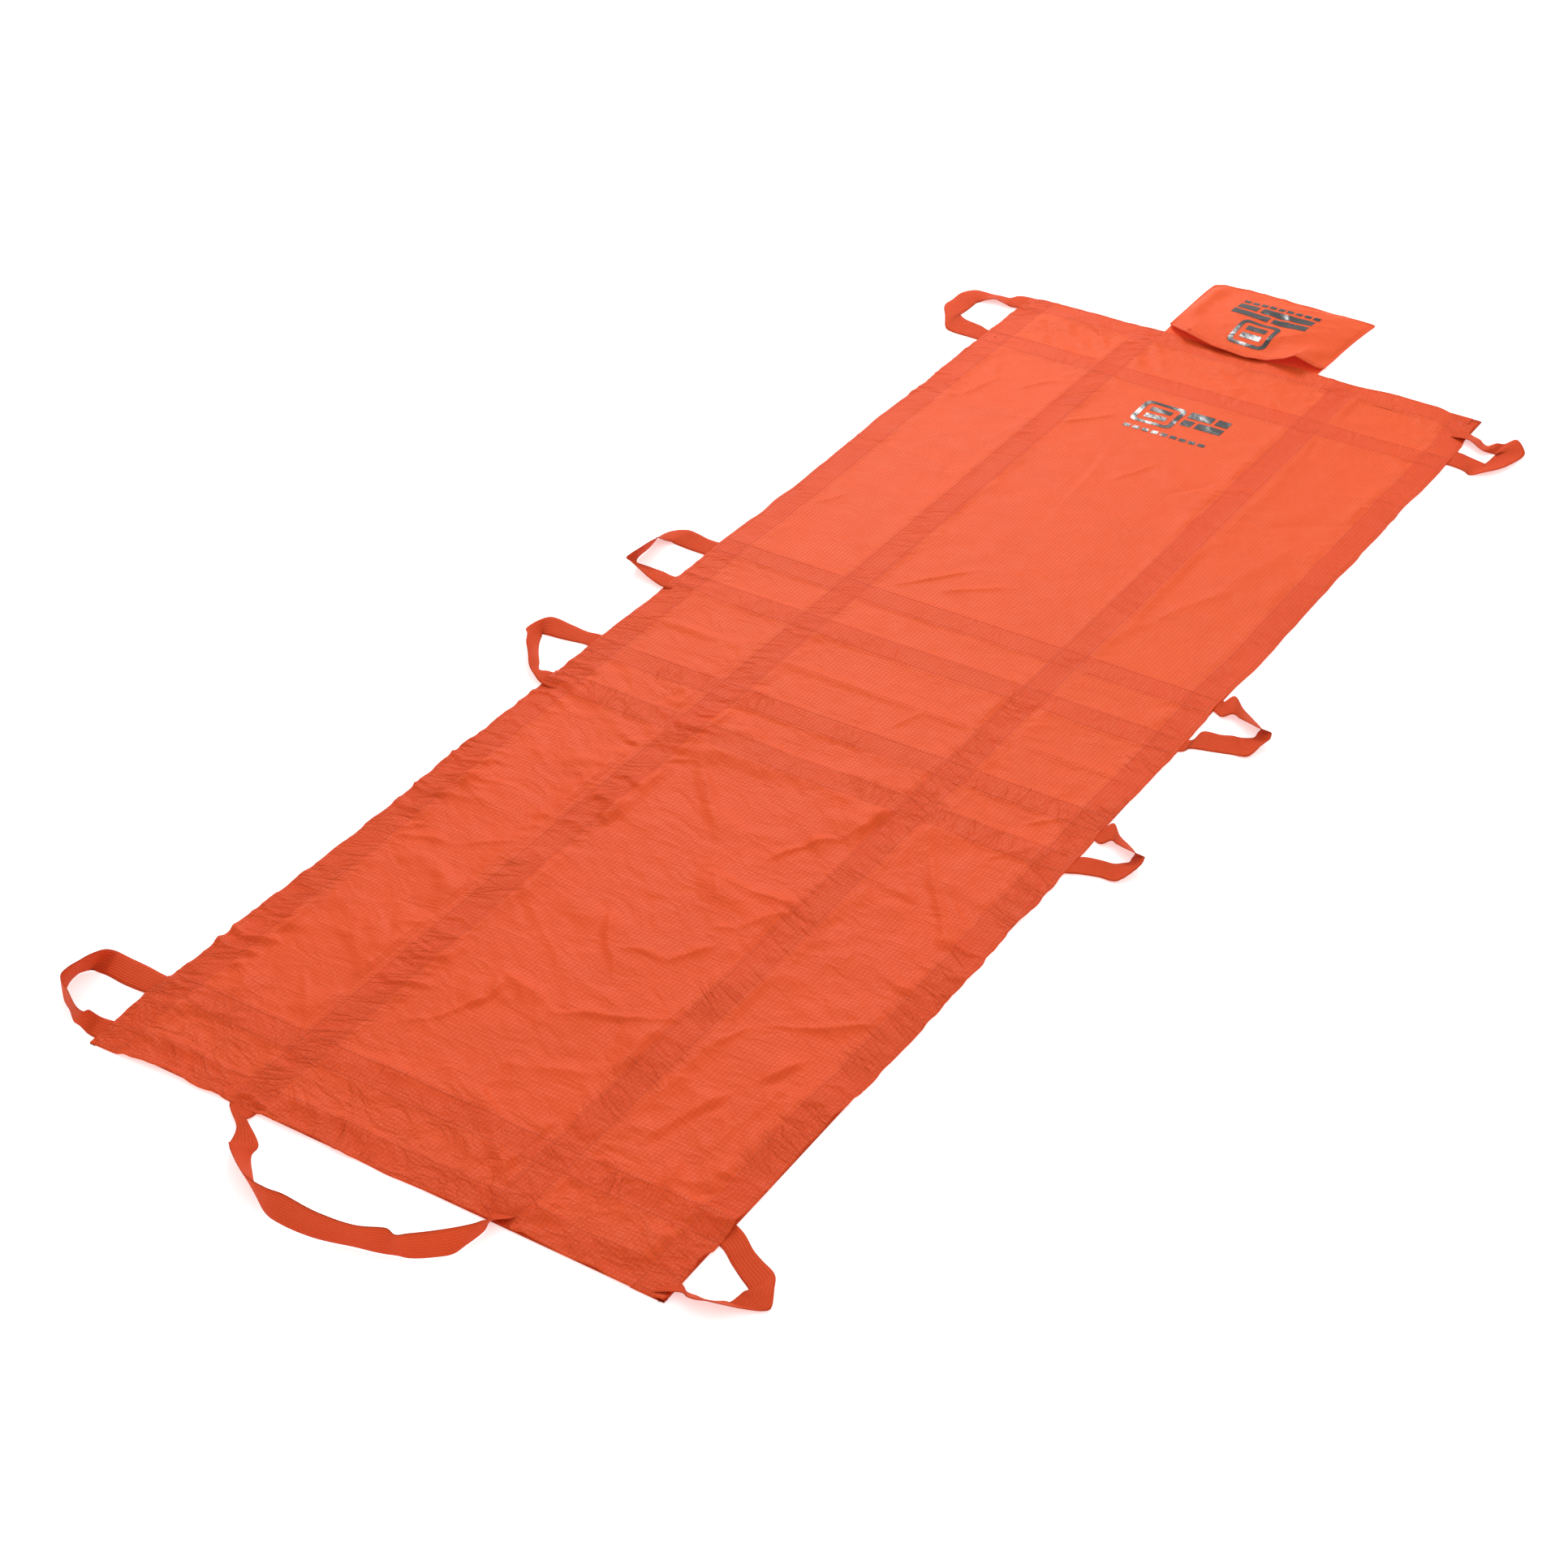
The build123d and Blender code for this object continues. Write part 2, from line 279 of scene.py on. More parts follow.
# ---- creases and folds of the sheet ----
# Each is a line from (x, y) to (x, y), a half width and a height above the cloth (a valley where it
# is negative), in millimetres.  fold_height() narrows all of them and lowers those of the head half.
FOLDS = [
    # head end
    (-262, 938, -186, 842, 9, -4.5), (-250, 946, -172, 850, 9, 4.0), (-176, 905, -116, 850, 8, 3.5),
    (-186, 890, -128, 836, 8, -3.0), (-150, 895, -62, 862, 9, -2.5), (-197, 748, -229, 697, 7, 3.5),
    (-267, 710, -289, 634, 8, 3.5), (-300, 760, -262, 690, 12, 2.0), (-82, 704, -139, 643, 7, 3.5),
    (-52, 634, -37, 385, 7, -2.2), (-44, 634, -30, 400, 8, 1.8), (26, 608, -5, 532, 7, 2.5),
    (118, 600, 71, 538, 9, -2.5), (126, 606, 84, 548, 9, 2.0), (288, 589, 218, 525, 12, -2.0),
    (-37, 245, -120, 149, 6, 4.0), (16, 228, -52, 178, 7, 3.0), (-229, 430, -171, 452, 7, 2.2),
    (-310, 455, -190, 455, 8, 1.5), (256, 385, 182, 213, 14, 2.5), (300, 600, 230, 330, 20, 2.0),
    (-315, 550, -330, 512, 8, 2.0), (-283, 320, -305, 275, 9, 2.5), (176, 805, 194, 730, 8, -2.5),
    (262, 812, 326, 752, 10, 3.5), (230, 830, 300, 800, 10, 2.0), (-18, 845, -8, 790, 6, -2.2),
    (44, 850, 36, 800, 6, -1.8), (-130, 900, -95, 870, 8, 2.5), (60, 880, 10, 840, 10, 2.0),
    (90, 860, 128, 800, 9, -2.0),
    # middle
    (43, -130, 64, -67, 5, 2.5), (-132, -4, -83, -67, 7, -2.5), (-230, -95, -167, -32, 9, 1.8),
    (-240, -262, -190, -180, 6, -2.0), (317, -158, 261, -214, 8, 3.0), (310, -228, 268, -281, 7, 3.5),
    # foot half, middle panel
    (-132, -292, -20, -440, 16, -4.5), (-20, -440, 71, -593, 14, -4.5), (-118, -278, 10, -430, 14, 3.5),
    (10, -430, 90, -560, 12, 3.0), (141, -260, 113, -334, 8, 3.0), (113, -334, 64, -414, 7, 4.5),
    (29, -472, 141, -474, 7, 3.5), (141, -480, 103, -537, 7, 3.5), (103, -537, 82, -546, 6, 3.0),
    (96, -570, 71, -620, 7, 4.0), (71, -622, 20, -628, 7, 4.0), (-44, -575, 36, -700, 9, -4.0),
    (-34, -570, 48, -690, 8, 3.0), (-139, -606, 29, -750, 7, -3.5), (-128, -600, -20, -690, 8, 2.5),
    (-69, -720, 22, -751, 8, 4.0), (22, -751, 134, -699, 7, 5.0), (-60, -730, -52, -765, 7, 3.5),
    (-52, -765, -83, -832, 8, 4.0), (-83, -832, -120, -868, 9, 3.0), (-46, -740, -54, -800, 7, -3.0),
    (-54, -800, -28, -855, 7, -3.0), (15, -827, 113, -788, 8, -3.5), (0, -850, 120, -810, 10, 2.5),
    # foot half, right panel
    (186, -280, 326, -470, 10, 4.0), (178, -300, 318, -488, 9, -4.0), (240, -330, 310, -420, 10, 2.0),
    (310, -593, 205, -664, 8, 4.0), (205, -664, 184, -712, 8, 4.0), (303, -664, 262, -734, 8, -5.0),
    (262, -734, 211, -872, 8, -4.5), (288, -668, 250, -734, 9, 4.0), (250, -734, 204, -860, 10, 3.0),
    (285, -700, 268, -850, 12, 2.0),
    # foot half, left panel
    (-181, -530, -251, -581, 8, 3.5), (-251, -581, -322, -594, 8, 3.0), (-329, -474, -245, -453, 9, 2.5),
    (-318, -580, -300, -640, 8, -2.5), (-330, -420, -285, -400, 8, 2.5), (-209, -720, -153, -698, 7, 3.0),
    (-230, -700, -190, -760, 9, -2.5), (-280, -818, -209, -902, 9, -4.0), (-270, -805, -200, -885, 9, 3.0),
    (-322, -965, -280, -944, 7, 4.0), (-280, -944, -238, -937, 6, 4.0), (-316, -740, -290, -830, 10, 2.5),
    (-200, -600, -175, -650, 8, -2.0),
    # crumpled foot end
    (43, -870, 78, -905, 6, -3.5), (120, -886, 134, -1000, 6, -4.0), (112, -880, 124, -990, 7, 3.0),
    (296, -893, 303, -972, 6, -4.5), (254, -867, 271, -937, 7, 4.0), (180, -905, 230, -925, 8, 3.0),
    (150, -930, 200, -965, 7, -3.0), (60, -915, 100, -955, 8, 3.5), (-100, -905, -40, -925, 9, 2.5),
    (-200, -915, -130, -930, 8, -2.5),
]


def fold_height(u, v):
    """Sum of the listed folds, each with a sharp crest, wide flanks and tapered ends."""
    wander_x = u + 5 * MM * relief(u / 0.045, v / 0.045, 11)
    wander_y = v + 5 * MM * relief(u / 0.045, v / 0.045, 12)
    total = np.zeros(u.shape)
    for x0, y0, x1, y1, half_width, height in FOLDS:
        start = np.array([x0, y0]) * MM
        along = np.array([x1, y1]) * MM - start
        length = np.hypot(*along)
        along /= length
        du = wander_x - start[0]
        dv = wander_y - start[1]
        s = (du * along[0] + dv * along[1]) / length
        d = (du * -along[1] + dv * along[0]) / (0.7 * half_width * MM)
        taper = smoothstep(-0.15, 0.3, s) * smoothstep(1.15, 0.7, s)
        total += height * MM * taper * np.exp(0.2 - np.sqrt(d * d + 0.04))
    return total * (1.0 - 0.3 * smoothstep(CREASE_Y - 0.15, CREASE_Y + 0.15, v))


# Gathers along the sewn webbing: line, size at the head, size at the foot (metres).
GATHERS = [
    (-LONG_X, 1.4 * MM, 3.1 * MM),
    (LONG_X, 1.1 * MM, 2.9 * MM),
    (-EDGE_X, 1.6 * MM, 3.0 * MM),
    (EDGE_X, 0.9 * MM, 2.4 * MM),
]


def gather_height(u, v):
    """Short ridges square to each lengthwise webbing, which merge and fade away from it."""
    total = np.zeros(u.shape)
    for number, (line, at_head, at_foot) in enumerate(GATHERS):
        d = u - line
        away = np.maximum(np.abs(d) - WEB_WIDTH / 2, 0)
        size = at_head + (at_foot - at_head) * smoothstep(CREASE_Y + 0.05, CREASE_Y - 0.25, v)
        patchy = 0.55 + 0.6 * relief(v / 0.09, d / 0.3, 20 + number)
        lean = v + 0.35 * np.abs(d) * np.sign(relief(v / 0.2, d * 0, 27 + number))
        fine = 1 - 2 * np.abs(relief(d / 0.05, lean / 0.0125, 30 + number))
        fine *= np.exp(-((away / 0.016) ** 2))
        middle = 1 - 2 * np.abs(relief(d / 0.06, lean / 0.024, 40 + number))
        middle *= np.exp(-((away / 0.034) ** 2))
        coarse = relief(d / 0.09, lean / 0.042, 50 + number) * np.exp(-((away / 0.065) ** 2))
        total += size * np.clip(patchy, 0.1, 1.2) * (0.8 * fine + 1.0 * middle + 0.8 * coarse)
    return total


def crumple_height(u, v):
    """Broad soft waves at the head, crisp small crumples over the foot half and at both ends."""
    warped_u = u + 0.014 * relief(u / 0.06, v / 0.06, 61)
    warped_v = v + 0.014 * relief(u / 0.06, v / 0.06, 62)
    diagonal = warped_u * 0.8 + warped_v * 0.6
    across = warped_v * 0.8 - warped_u * 0.6
    broad = relief(diagonal / 0.11, across / 0.2, 63)
    middle = facets(diagonal / 0.052, across / 0.083, 64)
    fine = facets(warped_u / 0.027 + 0.3 * warped_v / 0.027, warped_v / 0.024, 65)
    foot = smoothstep(CREASE_Y + 0.05, CREASE_Y - 0.2, v)
    foot_end = smoothstep(FOOT_Y + 0.24, FOOT_Y + 0.06, v)
    head_end = smoothstep(HEAD_Y - 0.2, HEAD_Y - 0.05, v)
    tiny = facets(warped_u / 0.0135, warped_v / 0.012 + 0.4 * warped_u / 0.012, 66)
    return MM * (
        0.8 * broad
        + (0.7 + 2.3 * foot + 1.2 * head_end) * middle
        + (0.5 + 1.3 * foot + 1.3 * foot_end + 1.1 * head_end) * fine
        + (0.17 + 0.33 * foot + 0.40 * foot_end + 0.35 * head_end) * tiny
    )


# ---- the whole sheet as one grid ----

GRID_STEP = 3 * MM
CLOTH_Z = 1.9 * MM
CROSSING_RISE = 0.9 * MM  # more height where a cross strap lies under the cloth
CREASE_REACH = 14 * MM  # the cloth comes down to a crease over this distance
CORNER_PULL_Y = 26 * MM
CORNER_PULL_X = 4 * MM
CORNER_HANG = 5 * MM


def grid_lines(stops, step):
    """Evenly spaced lines between each two stops, with every stop a line."""
    lines = [stops[0]]
    for a, b in zip(stops, stops[1:]):
        count = max(1, int(round((b - a) / step)))
        lines.extend(np.linspace(a, b, count + 1)[1:])
    return np.array(lines)


U_LINES = grid_lines([-SIDE_X, -CREASE_X, CREASE_X, SIDE_X], GRID_STEP)
V_LINES = grid_lines([FOOT_Y, CREASE_Y, HEAD_Y], GRID_STEP)


def sheet_surface():
    """Points of the whole sheet over its flat grid, creases straight and on the fold axes."""
    u, v = np.meshgrid(U_LINES, V_LINES, indexing="ij")
    slack = simulate_slack()
    slack = sample(slack, (u + SIDE_X) / CLOTH_STEP, (v - FOOT_Y) / CLOTH_STEP)
    slack = soften(slack, 2)

    off_web = np.ones(u.shape)
    for x in (LONG_X, EDGE_X):
        off_web *= smoothstep(WEB_WIDTH / 2 - 4 * MM, WEB_WIDTH / 2 + 9 * MM, np.abs(np.abs(u) - x))
    over_strap = np.zeros(u.shape)
    off_strap = np.ones(u.shape)
    for y in BAND_Y.values():
        band = smoothstep(WEB_WIDTH / 2 + 5 * MM, WEB_WIDTH / 2 - 1 * MM, np.abs(v - y))
        over_strap = np.maximum(over_strap, band)
        off_strap *= smoothstep(WEB_WIDTH / 2 - 4 * MM, WEB_WIDTH / 2 + 9 * MM, np.abs(v - y))

    base = CLOTH_Z + CROSSING_RISE * over_strap
    slack_share = 0.5 + 0.8 * smoothstep(CREASE_Y + 0.1, CREASE_Y - 0.2, v)
    loose = fold_height(u, v) + crumple_height(u, v) + slack_share * slack
    hem_slack = 0.4 * smoothstep(FOOT_Y + 0.06, FOOT_Y + 0.03, v)
    hem_slack += 0.15 * smoothstep(CREASE_Y, CREASE_Y - 0.2, v)
    hem_slack += 0.45 * smoothstep(HEAD_Y - 0.06, HEAD_Y - 0.03, v)
    held = 0.35 + hem_slack + (0.65 - hem_slack) * off_web * off_strap
    height = base + loose * held + gather_height(u, v)
    floor = 1.2 * MM + 1.4 * MM * np.maximum(over_strap, 1 - off_web)
    height = floor + np.logaddexp(0, (height - floor) / (0.7 * MM)) * 0.7 * MM

    # The creases are straight, level with the fold axes, and met squarely from both sides.
    near_crease = np.minimum(np.abs(np.abs(u) - CREASE_X), np.abs(v - CREASE_Y))
    height = FOLD_Z + (height - FOLD_Z) * smoothstep(0, CREASE_REACH, near_crease)

    # Wavy outline: the side edges gather in and out, the head and foot edges wander.
    side = smoothstep(CREASE_X + 0.03, SIDE_X, np.abs(u))
    foot = smoothstep(CREASE_Y, CREASE_Y - 0.3, v)
    sign = np.sign(u)
    row = sign * 3 + 0.5  # each side edge has its own row of the relief
    edge_wave = 3.6 * MM * relief(row, v / 0.13, 71) + 1.5 * MM * relief(row, v / 0.043, 72)
    edge_wave += (0.6 + 1.1 * foot) * MM * relief(row, v / 0.018, 73)
    x = u + sign * side * edge_wave
    head = smoothstep(HEAD_Y - 0.09, HEAD_Y, v)
    foot_end = smoothstep(FOOT_Y + 0.07, FOOT_Y, v)
    y = v + head * (3.5 * MM * relief(u / 0.12, v * 0, 74) + 1.2 * MM * relief(u / 0.035, v * 0, 75))
    y += foot_end * (3.0 * MM * relief(u / 0.15, v * 0, 76) + 1.3 * MM * relief(u / 0.03, v * 0, 77))
    # The right head corner is pulled in and down, the left foot corner hangs out a little.
    pull = smoothstep(SIDE_X - 0.07, SIDE_X, u) * smoothstep(HEAD_Y - 0.10, HEAD_Y, v)
    y -= CORNER_PULL_Y * pull
    x -= CORNER_PULL_X * pull
    y -= CORNER_HANG * smoothstep(-SIDE_X + 0.12, -SIDE_X, u) * foot_end
    return np.stack([x, y, height], -1)


def surface_normals(points):
    across = np.gradient(points, axis=0)
    along = np.gradient(points, axis=1)
    return unit(np.cross(across, along))


SHEET = sheet_surface()
SHEET_NORMALS = surface_normals(SHEET)


def on_sheet(u, v, lift=0.0):
    """Points of the sheet at flat positions u, v, lifted along the cloth's normal."""
    u = np.asarray(u, float)
    v = np.asarray(v, float)
    row = np.interp(u, U_LINES, np.arange(len(U_LINES)))
    column = np.interp(v, V_LINES, np.arange(len(V_LINES)))
    return sample(SHEET, row, column) + lift * sample(SHEET_NORMALS, row, column)


# ---- meshes ----


def mesh_object(name, points, faces, material, uvs, normals=None):
    """A smooth-shaded mesh piece.  uvs, and normals where there are any, are given for each vertex."""
    mesh = bpy.data.meshes.new(name)
    mesh.from_pydata(np.asarray(points).reshape(-1, 3).tolist(), [], np.asarray(faces).tolist())
    mesh.polygons.foreach_set("use_smooth", [True] * len(mesh.polygons))
    corners = np.zeros(len(mesh.loops), int)
    mesh.loops.foreach_get("vertex_index", corners)
    layer = mesh.uv_layers.new(name="flat")
    layer.data.foreach_set("uv", np.asarray(uvs, float).reshape(-1, 2)[corners].ravel())
    if normals is not None:
        mesh.normals_split_custom_set_from_vertices(np.asarray(normals).reshape(-1, 3).tolist())
    mesh.materials.append(material)
    mesh.update()
    return linked(name, mesh)


# ---- materials ----


class Nodes:
    """Short helpers to lay out one material's nodes."""

    def __init__(self, name):
        self.material = bpy.data.materials.new(name)
        self.material.use_nodes = True
        self.tree = self.material.node_tree
        self.shader = self.tree.nodes["Principled BSDF"]

    def put(self, socket, value):
        """Link a socket to another's output, or set its value."""
        if isinstance(value, bpy.types.NodeSocket):
            self.tree.links.new(value, socket)
        else:
            socket.default_value = value

    def wired(self, kind, output, sockets, **values):
        """One output of a new node.  sockets maps its inputs, by name or number, to what goes in."""
        made = self.tree.nodes.new(kind)
        for key, value in values.items():
            setattr(made, key, value)
        for key, value in sockets.items():
            self.put(made.inputs[key], value)
        return made.outputs[output]

    def math(self, operation, a, b=0.0, c=0.0):
        return self.wired("ShaderNodeMath", 0, {0: a, 1: b, 2: c}, operation=operation)

    def add(self, a, b):
        return self.math("ADD", a, b)

    def mul(self, a, b):
        return self.math("MULTIPLY", a, b)

    def mad(self, a, b, c):
        return self.math("MULTIPLY_ADD", a, b, c)

    def step(self, value, edge0, edge1, to0=0.0, to1=1.0):
        sockets = {"Value": value, "From Min": edge0, "From Max": edge1, "To Min": to0, "To Max": to1}
        return self.wired("ShaderNodeMapRange", "Result", sockets, interpolation_type="SMOOTHSTEP")

    def mix(self, factor, a, b, blend="MIX"):
        sockets = {"Factor": factor, 6: a, 7: b}
        return self.wired("ShaderNodeMix", 2, sockets, data_type="RGBA", blend_type=blend)

    def noise(self, vector, scale, detail=2.0, roughness=0.5, distortion=0.0):
        sockets = {"Vector": vector, "Scale": scale, "Detail": detail, "Roughness": roughness}
        return self.wired("ShaderNodeTexNoise", "Fac", sockets | {"Distortion": distortion})

    def bump(self, height, distance, strength, normal=None):
        sockets = {"Height": height, "Distance": distance, "Strength": strength}
        if normal is not None:
            sockets["Normal"] = normal
        return self.wired("ShaderNodeBump", "Normal", sockets)

    def ridges(self, x, y, scale_x, scale_y, detail=2.0):
        """Sharp crests of noise stretched along one direction, 0 in the valleys to 1 on the crests."""
        place = self.wired("ShaderNodeCombineXYZ", 0, {0: self.mul(x, scale_x), 1: self.mul(y, scale_y)})
        soft = self.noise(place, 1.0, detail, 0.55, 0.5)
        away = self.math("ABSOLUTE", self.mad(soft, 5.0, -2.5))
        return self.math("SUBTRACT", 1.0, self.math("MINIMUM", away, 1.0))

    def flat_position(self):
        """The flat position on the cloth, in metres: as a vector, and its x and y."""
        uv = self.wired("ShaderNodeUVMap", 0, {}, uv_map="flat")
        x = self.wired("ShaderNodeSeparateXYZ", 0, {0: uv})
        return uv, x, x.node.outputs[1]


NYLON_LIGHT = (0.765, 0.096, 0.024, 1)
# Painted shade: the colour of nylon over webbing, darker where the webbing under the thin cloth keeps light
# from coming back through it.
NYLON_SHADED_OVER_WEB = (0.70, 0.074, 0.018, 1)
# Painted shade: the foot half's colour is a touch darker and redder, for the light that falls off towards the
# foot.
NYLON_SHADED_FOOT = (0.765, 0.090, 0.024, 1)
WEB_COLOUR = (0.755, 0.082, 0.021, 1)
WEB_SHADE = (0.55, 0.050, 0.013, 1)
THREAD_COLOUR = (0.86, 0.22, 0.10, 1)
INK = (0.012, 0.012, 0.014, 1)
INK_WORN = (0.10, 0.022, 0.014, 1)
GLOW_COLOUR = (1, 0.06, 0.03, 1)
BACK_GLOW = 0.22

RIPSTOP_PITCH = 5 * MM
THREAD_PITCH = 0.9 * MM
RIB_PITCH = 3.6 * MM
FLOAT_PITCH = 1.9 * MM


def ripstop(n, x, y):
    """Lines of heavier thread that make the small squares of ripstop cloth, 0 to 1."""
    lines = []
    for value in (x, y):
        phase = n.math("PINGPONG", value, RIPSTOP_PITCH / 2)
        lines.append(n.step(phase, 0.0, 0.7 * MM, 1.0, 0.0))
    return n.math("MAXIMUM", *lines)


def finish_nylon(n, colour, uv, x, y, creases, depth):
    """Weave, creases and a soft uneven gloss that every nylon piece shares, with painted shade darkening the
    colour along the creases.

    creases is the relief of the small creases, about 0 to 1, and depth its size in metres.
    """
    squares = ripstop(n, x, y)
    blotch = n.noise(uv, 9.0, 3.0, 0.55)
    shade = n.mad(blotch, 0.10, 0.95)
    shade = n.mul(shade, n.mad(squares, -0.09, 1.015))
    # Painted shade: the colour darkens along the small creases.
    shade = n.mul(shade, n.mad(creases, -0.07, 1.01))
    grey = n.wired("ShaderNodeCombineColor", 0, {0: shade, 1: shade, 2: shade})
    n.put(n.shader.inputs["Base Color"], n.mix(1.0, colour, grey, "MULTIPLY"))
    n.put(n.shader.inputs["Roughness"], n.mad(n.noise(uv, 30.0, 2.0), 0.15, 0.42))
    n.shader.inputs["Specular IOR Level"].default_value = 0.055
    threads = n.add(*(n.math("SINE", n.mul(value, 2 * math.pi / THREAD_PITCH)) for value in (x, y)))
    normal = n.bump(threads, 0.02 * MM, 0.35)
    normal = n.bump(squares, 0.3 * MM, 0.8, normal)
    normal = n.bump(creases, depth, 0.8, normal)
    n.put(n.shader.inputs["Normal"], normal)


def sheet_material():
    """Orange ripstop nylon, darker over webbing and puckered beside it, most at the foot; the darkening over
    webbing is painted shade.
    """
    n = Nodes("sheet_nylon")
    uv, x, y = n.flat_position()
    wander = n.mad(n.noise(uv, 26.0, 2.0), 7 * MM, -3.5 * MM)
    x_wavy = n.add(x, wander)
    y_wavy = n.add(y, wander)
    half = WEB_WIDTH / 2
    inside, outside = half - 3 * MM, half + 2.5 * MM
    from_long = n.math("ABSOLUTE", n.math("SUBTRACT", n.math("ABSOLUTE", x_wavy), LONG_X))
    from_edge = n.math("SUBTRACT", EDGE_X, n.math("ABSOLUTE", x_wavy))
    from_band = 1.0
    for band_y in BAND_Y.values():
        from_band = n.math("MINIMUM", from_band, n.math("ABSOLUTE", n.math("SUBTRACT", y_wavy, band_y)))
    from_lengthwise = n.math("MINIMUM", from_long, from_edge)
    over_band = n.mul(n.step(from_band, outside, inside), 0.8)
    layers = n.add(n.step(from_lengthwise, outside, inside), over_band)
    patchy = n.mad(n.noise(uv, 16.0, 3.0), 1.0, 0.5)
    at_foot = n.step(y, CREASE_Y, CREASE_Y - 0.5, 0.85, 0.8)
    # Painted shade over the webbing: less light comes back through the thin cloth where webbing lies under
    # it.
    shade_over_web = n.mul(n.mul(n.math("MINIMUM", layers, 1.3), patchy), at_foot)
    # Painted shade: the colour turns a touch darker and redder towards the foot, where less light falls.
    foot = n.step(y, CREASE_Y + 0.15, CREASE_Y - 0.45)
    colour = n.mix(n.mul(foot, 0.8), NYLON_LIGHT, NYLON_SHADED_FOOT)
    colour = n.mix(shade_over_web, colour, NYLON_SHADED_OVER_WEB)

    # Puckers lie square to the sewing; small creases cover the loose cloth.
    lean = n.add(y, n.mul(n.math("ABSOLUTE", x), 0.45))
    square_to_long = n.ridges(x, lean, 15.0, 48.0, 4.0)
    square_to_band = n.ridges(n.add(x, n.mul(y, 0.3)), y, 46.0, 18.0, 4.0)
    beside_long = n.step(from_lengthwise, half + 24 * MM, half - 6 * MM)
    beside_band = n.step(from_band, half + 16 * MM, half - 6 * MM)
    head_end = n.mul(n.step(y, HEAD_Y - 0.16, HEAD_Y - 0.03), 0.6)
    ends = n.math("MAXIMUM", n.step(y, FOOT_Y + 0.2, FOOT_Y + 0.04), head_end)
    slack = n.add(n.step(y, CREASE_Y + 0.25, CREASE_Y - 0.2, 0.42, 1.0), n.mul(ends, 0.4))
    loose = n.ridges(n.add(x, n.mul(y, 0.5)), y, 20.0, 30.0, 4.0)
    bunched = n.step(n.noise(uv, 11.0, 2.0), 0.36, 0.62, 0.35, 1.0)
    beside_long = n.mul(beside_long, bunched)
    beside_band = n.mul(beside_band, bunched)
    puckers = n.mul(square_to_long, beside_long)
    puckers = n.math("MAXIMUM", puckers, n.mul(n.mul(square_to_band, beside_band), 0.75))
    creases = n.math("MAXIMUM", puckers, n.mul(loose, n.mad(ends, 0.35, 0.36)))
    finish_nylon(n, colour, uv, x, y, n.mul(creases, slack), 3.4 * MM)
    return n.material


def pouch_material(name, glow):
    """The pouch's nylon.  glow stands for daylight that comes through the thin cloth over it."""
    n = Nodes(name)
    uv, x, y = n.flat_position()
    creases = n.mul(n.ridges(n.add(x, y), y, 14.0, 26.0, 4.0), 0.5)
    finish_nylon(n, NYLON_LIGHT, uv, x, y, creases, 2.4 * MM)
    n.shader.inputs["Emission Color"].default_value = GLOW_COLOUR
    n.shader.inputs["Emission Strength"].default_value = glow
    return n.material


def binding_material():
    n = Nodes("pouch_binding")
    uv, x, y = n.flat_position()
    creases = n.mul(n.ridges(x, y, 60.0, 16.0), 0.5)
    # The binding is drawn 0.6 of the way towards the painted-shade colour of nylon over webbing.
    finish_nylon(n, n.mix(0.6, NYLON_LIGHT, NYLON_SHADED_OVER_WEB), uv, x, y, creases, 1.2 * MM)
    return n.material


def webbing_material():
    """Flat woven webbing: fine ribs along the strap, short floats across it."""
    n = Nodes("webbing")
    uv, along, across = n.flat_position()
    ribs = n.math("SINE", n.mul(across, 2 * math.pi / RIB_PITCH))
    row = n.math("FLOOR", n.math("DIVIDE", across, RIB_PITCH / 2))
    shift = n.mul(row, math.pi)
    floats = n.math("SINE", n.add(n.mul(along, 2 * math.pi / FLOAT_PITCH), shift))
    weave = n.mad(floats, 0.45, n.mul(ribs, 0.55))
    blotch = n.noise(uv, 14.0, 3.0)
    kinks = n.ridges(along, across, 34.0, 22.0, 2.0)
    factor = n.mad(weave, 0.3, n.mad(blotch, 0.4, 0.1))
    n.put(n.shader.inputs["Base Color"], n.mix(factor, WEB_COLOUR, WEB_SHADE))
    n.put(n.shader.inputs["Roughness"], n.mad(n.noise(uv, 60.0, 2.0), 0.15, 0.55))
    n.shader.inputs["Specular IOR Level"].default_value = 0.06
    n.put(n.shader.inputs["Normal"], n.bump(weave, 0.5 * MM, 0.9, n.bump(kinks, 1.4 * MM, 0.6)))
    return n.material


def thread_material():
    n = Nodes("thread")
    uv, x, y = n.flat_position()
    n.put(n.shader.inputs["Base Color"], n.mix(n.noise(uv, 300.0), THREAD_COLOUR, WEB_SHADE))
    n.shader.inputs["Roughness"].default_value = 0.6
    return n.material


def ink_material():
    """Glossy black screen print with a faint grain from the cloth under it."""
    n = Nodes("print")
    uv, x, y = n.flat_position()
    worn = n.noise(uv, 420.0, 3.0, 0.7)
    n.put(n.shader.inputs["Base Color"], n.mix(n.step(worn, 0.62, 0.74), INK, INK_WORN))
    n.put(n.shader.inputs["Roughness"], n.step(worn, 0.3, 0.7, 0.10, 0.26))
    n.shader.inputs["Specular IOR Level"].default_value = 0.55
    n.put(n.shader.inputs["Normal"], n.bump(n.noise(uv, 160.0, 3.0), 0.4 * MM, 0.4))
    return n.material


SHEET_MATERIAL = sheet_material()
POUCH_MATERIAL = pouch_material("pouch_nylon", 0.0)
POUCH_BACK_MATERIAL = pouch_material("pouch_nylon_back", BACK_GLOW)
BINDING_MATERIAL = binding_material()
WEBBING_MATERIAL = webbing_material()
THREAD_MATERIAL = thread_material()
INK_MATERIAL = ink_material()

# ---- the six sheet panels with their rolled hem ----

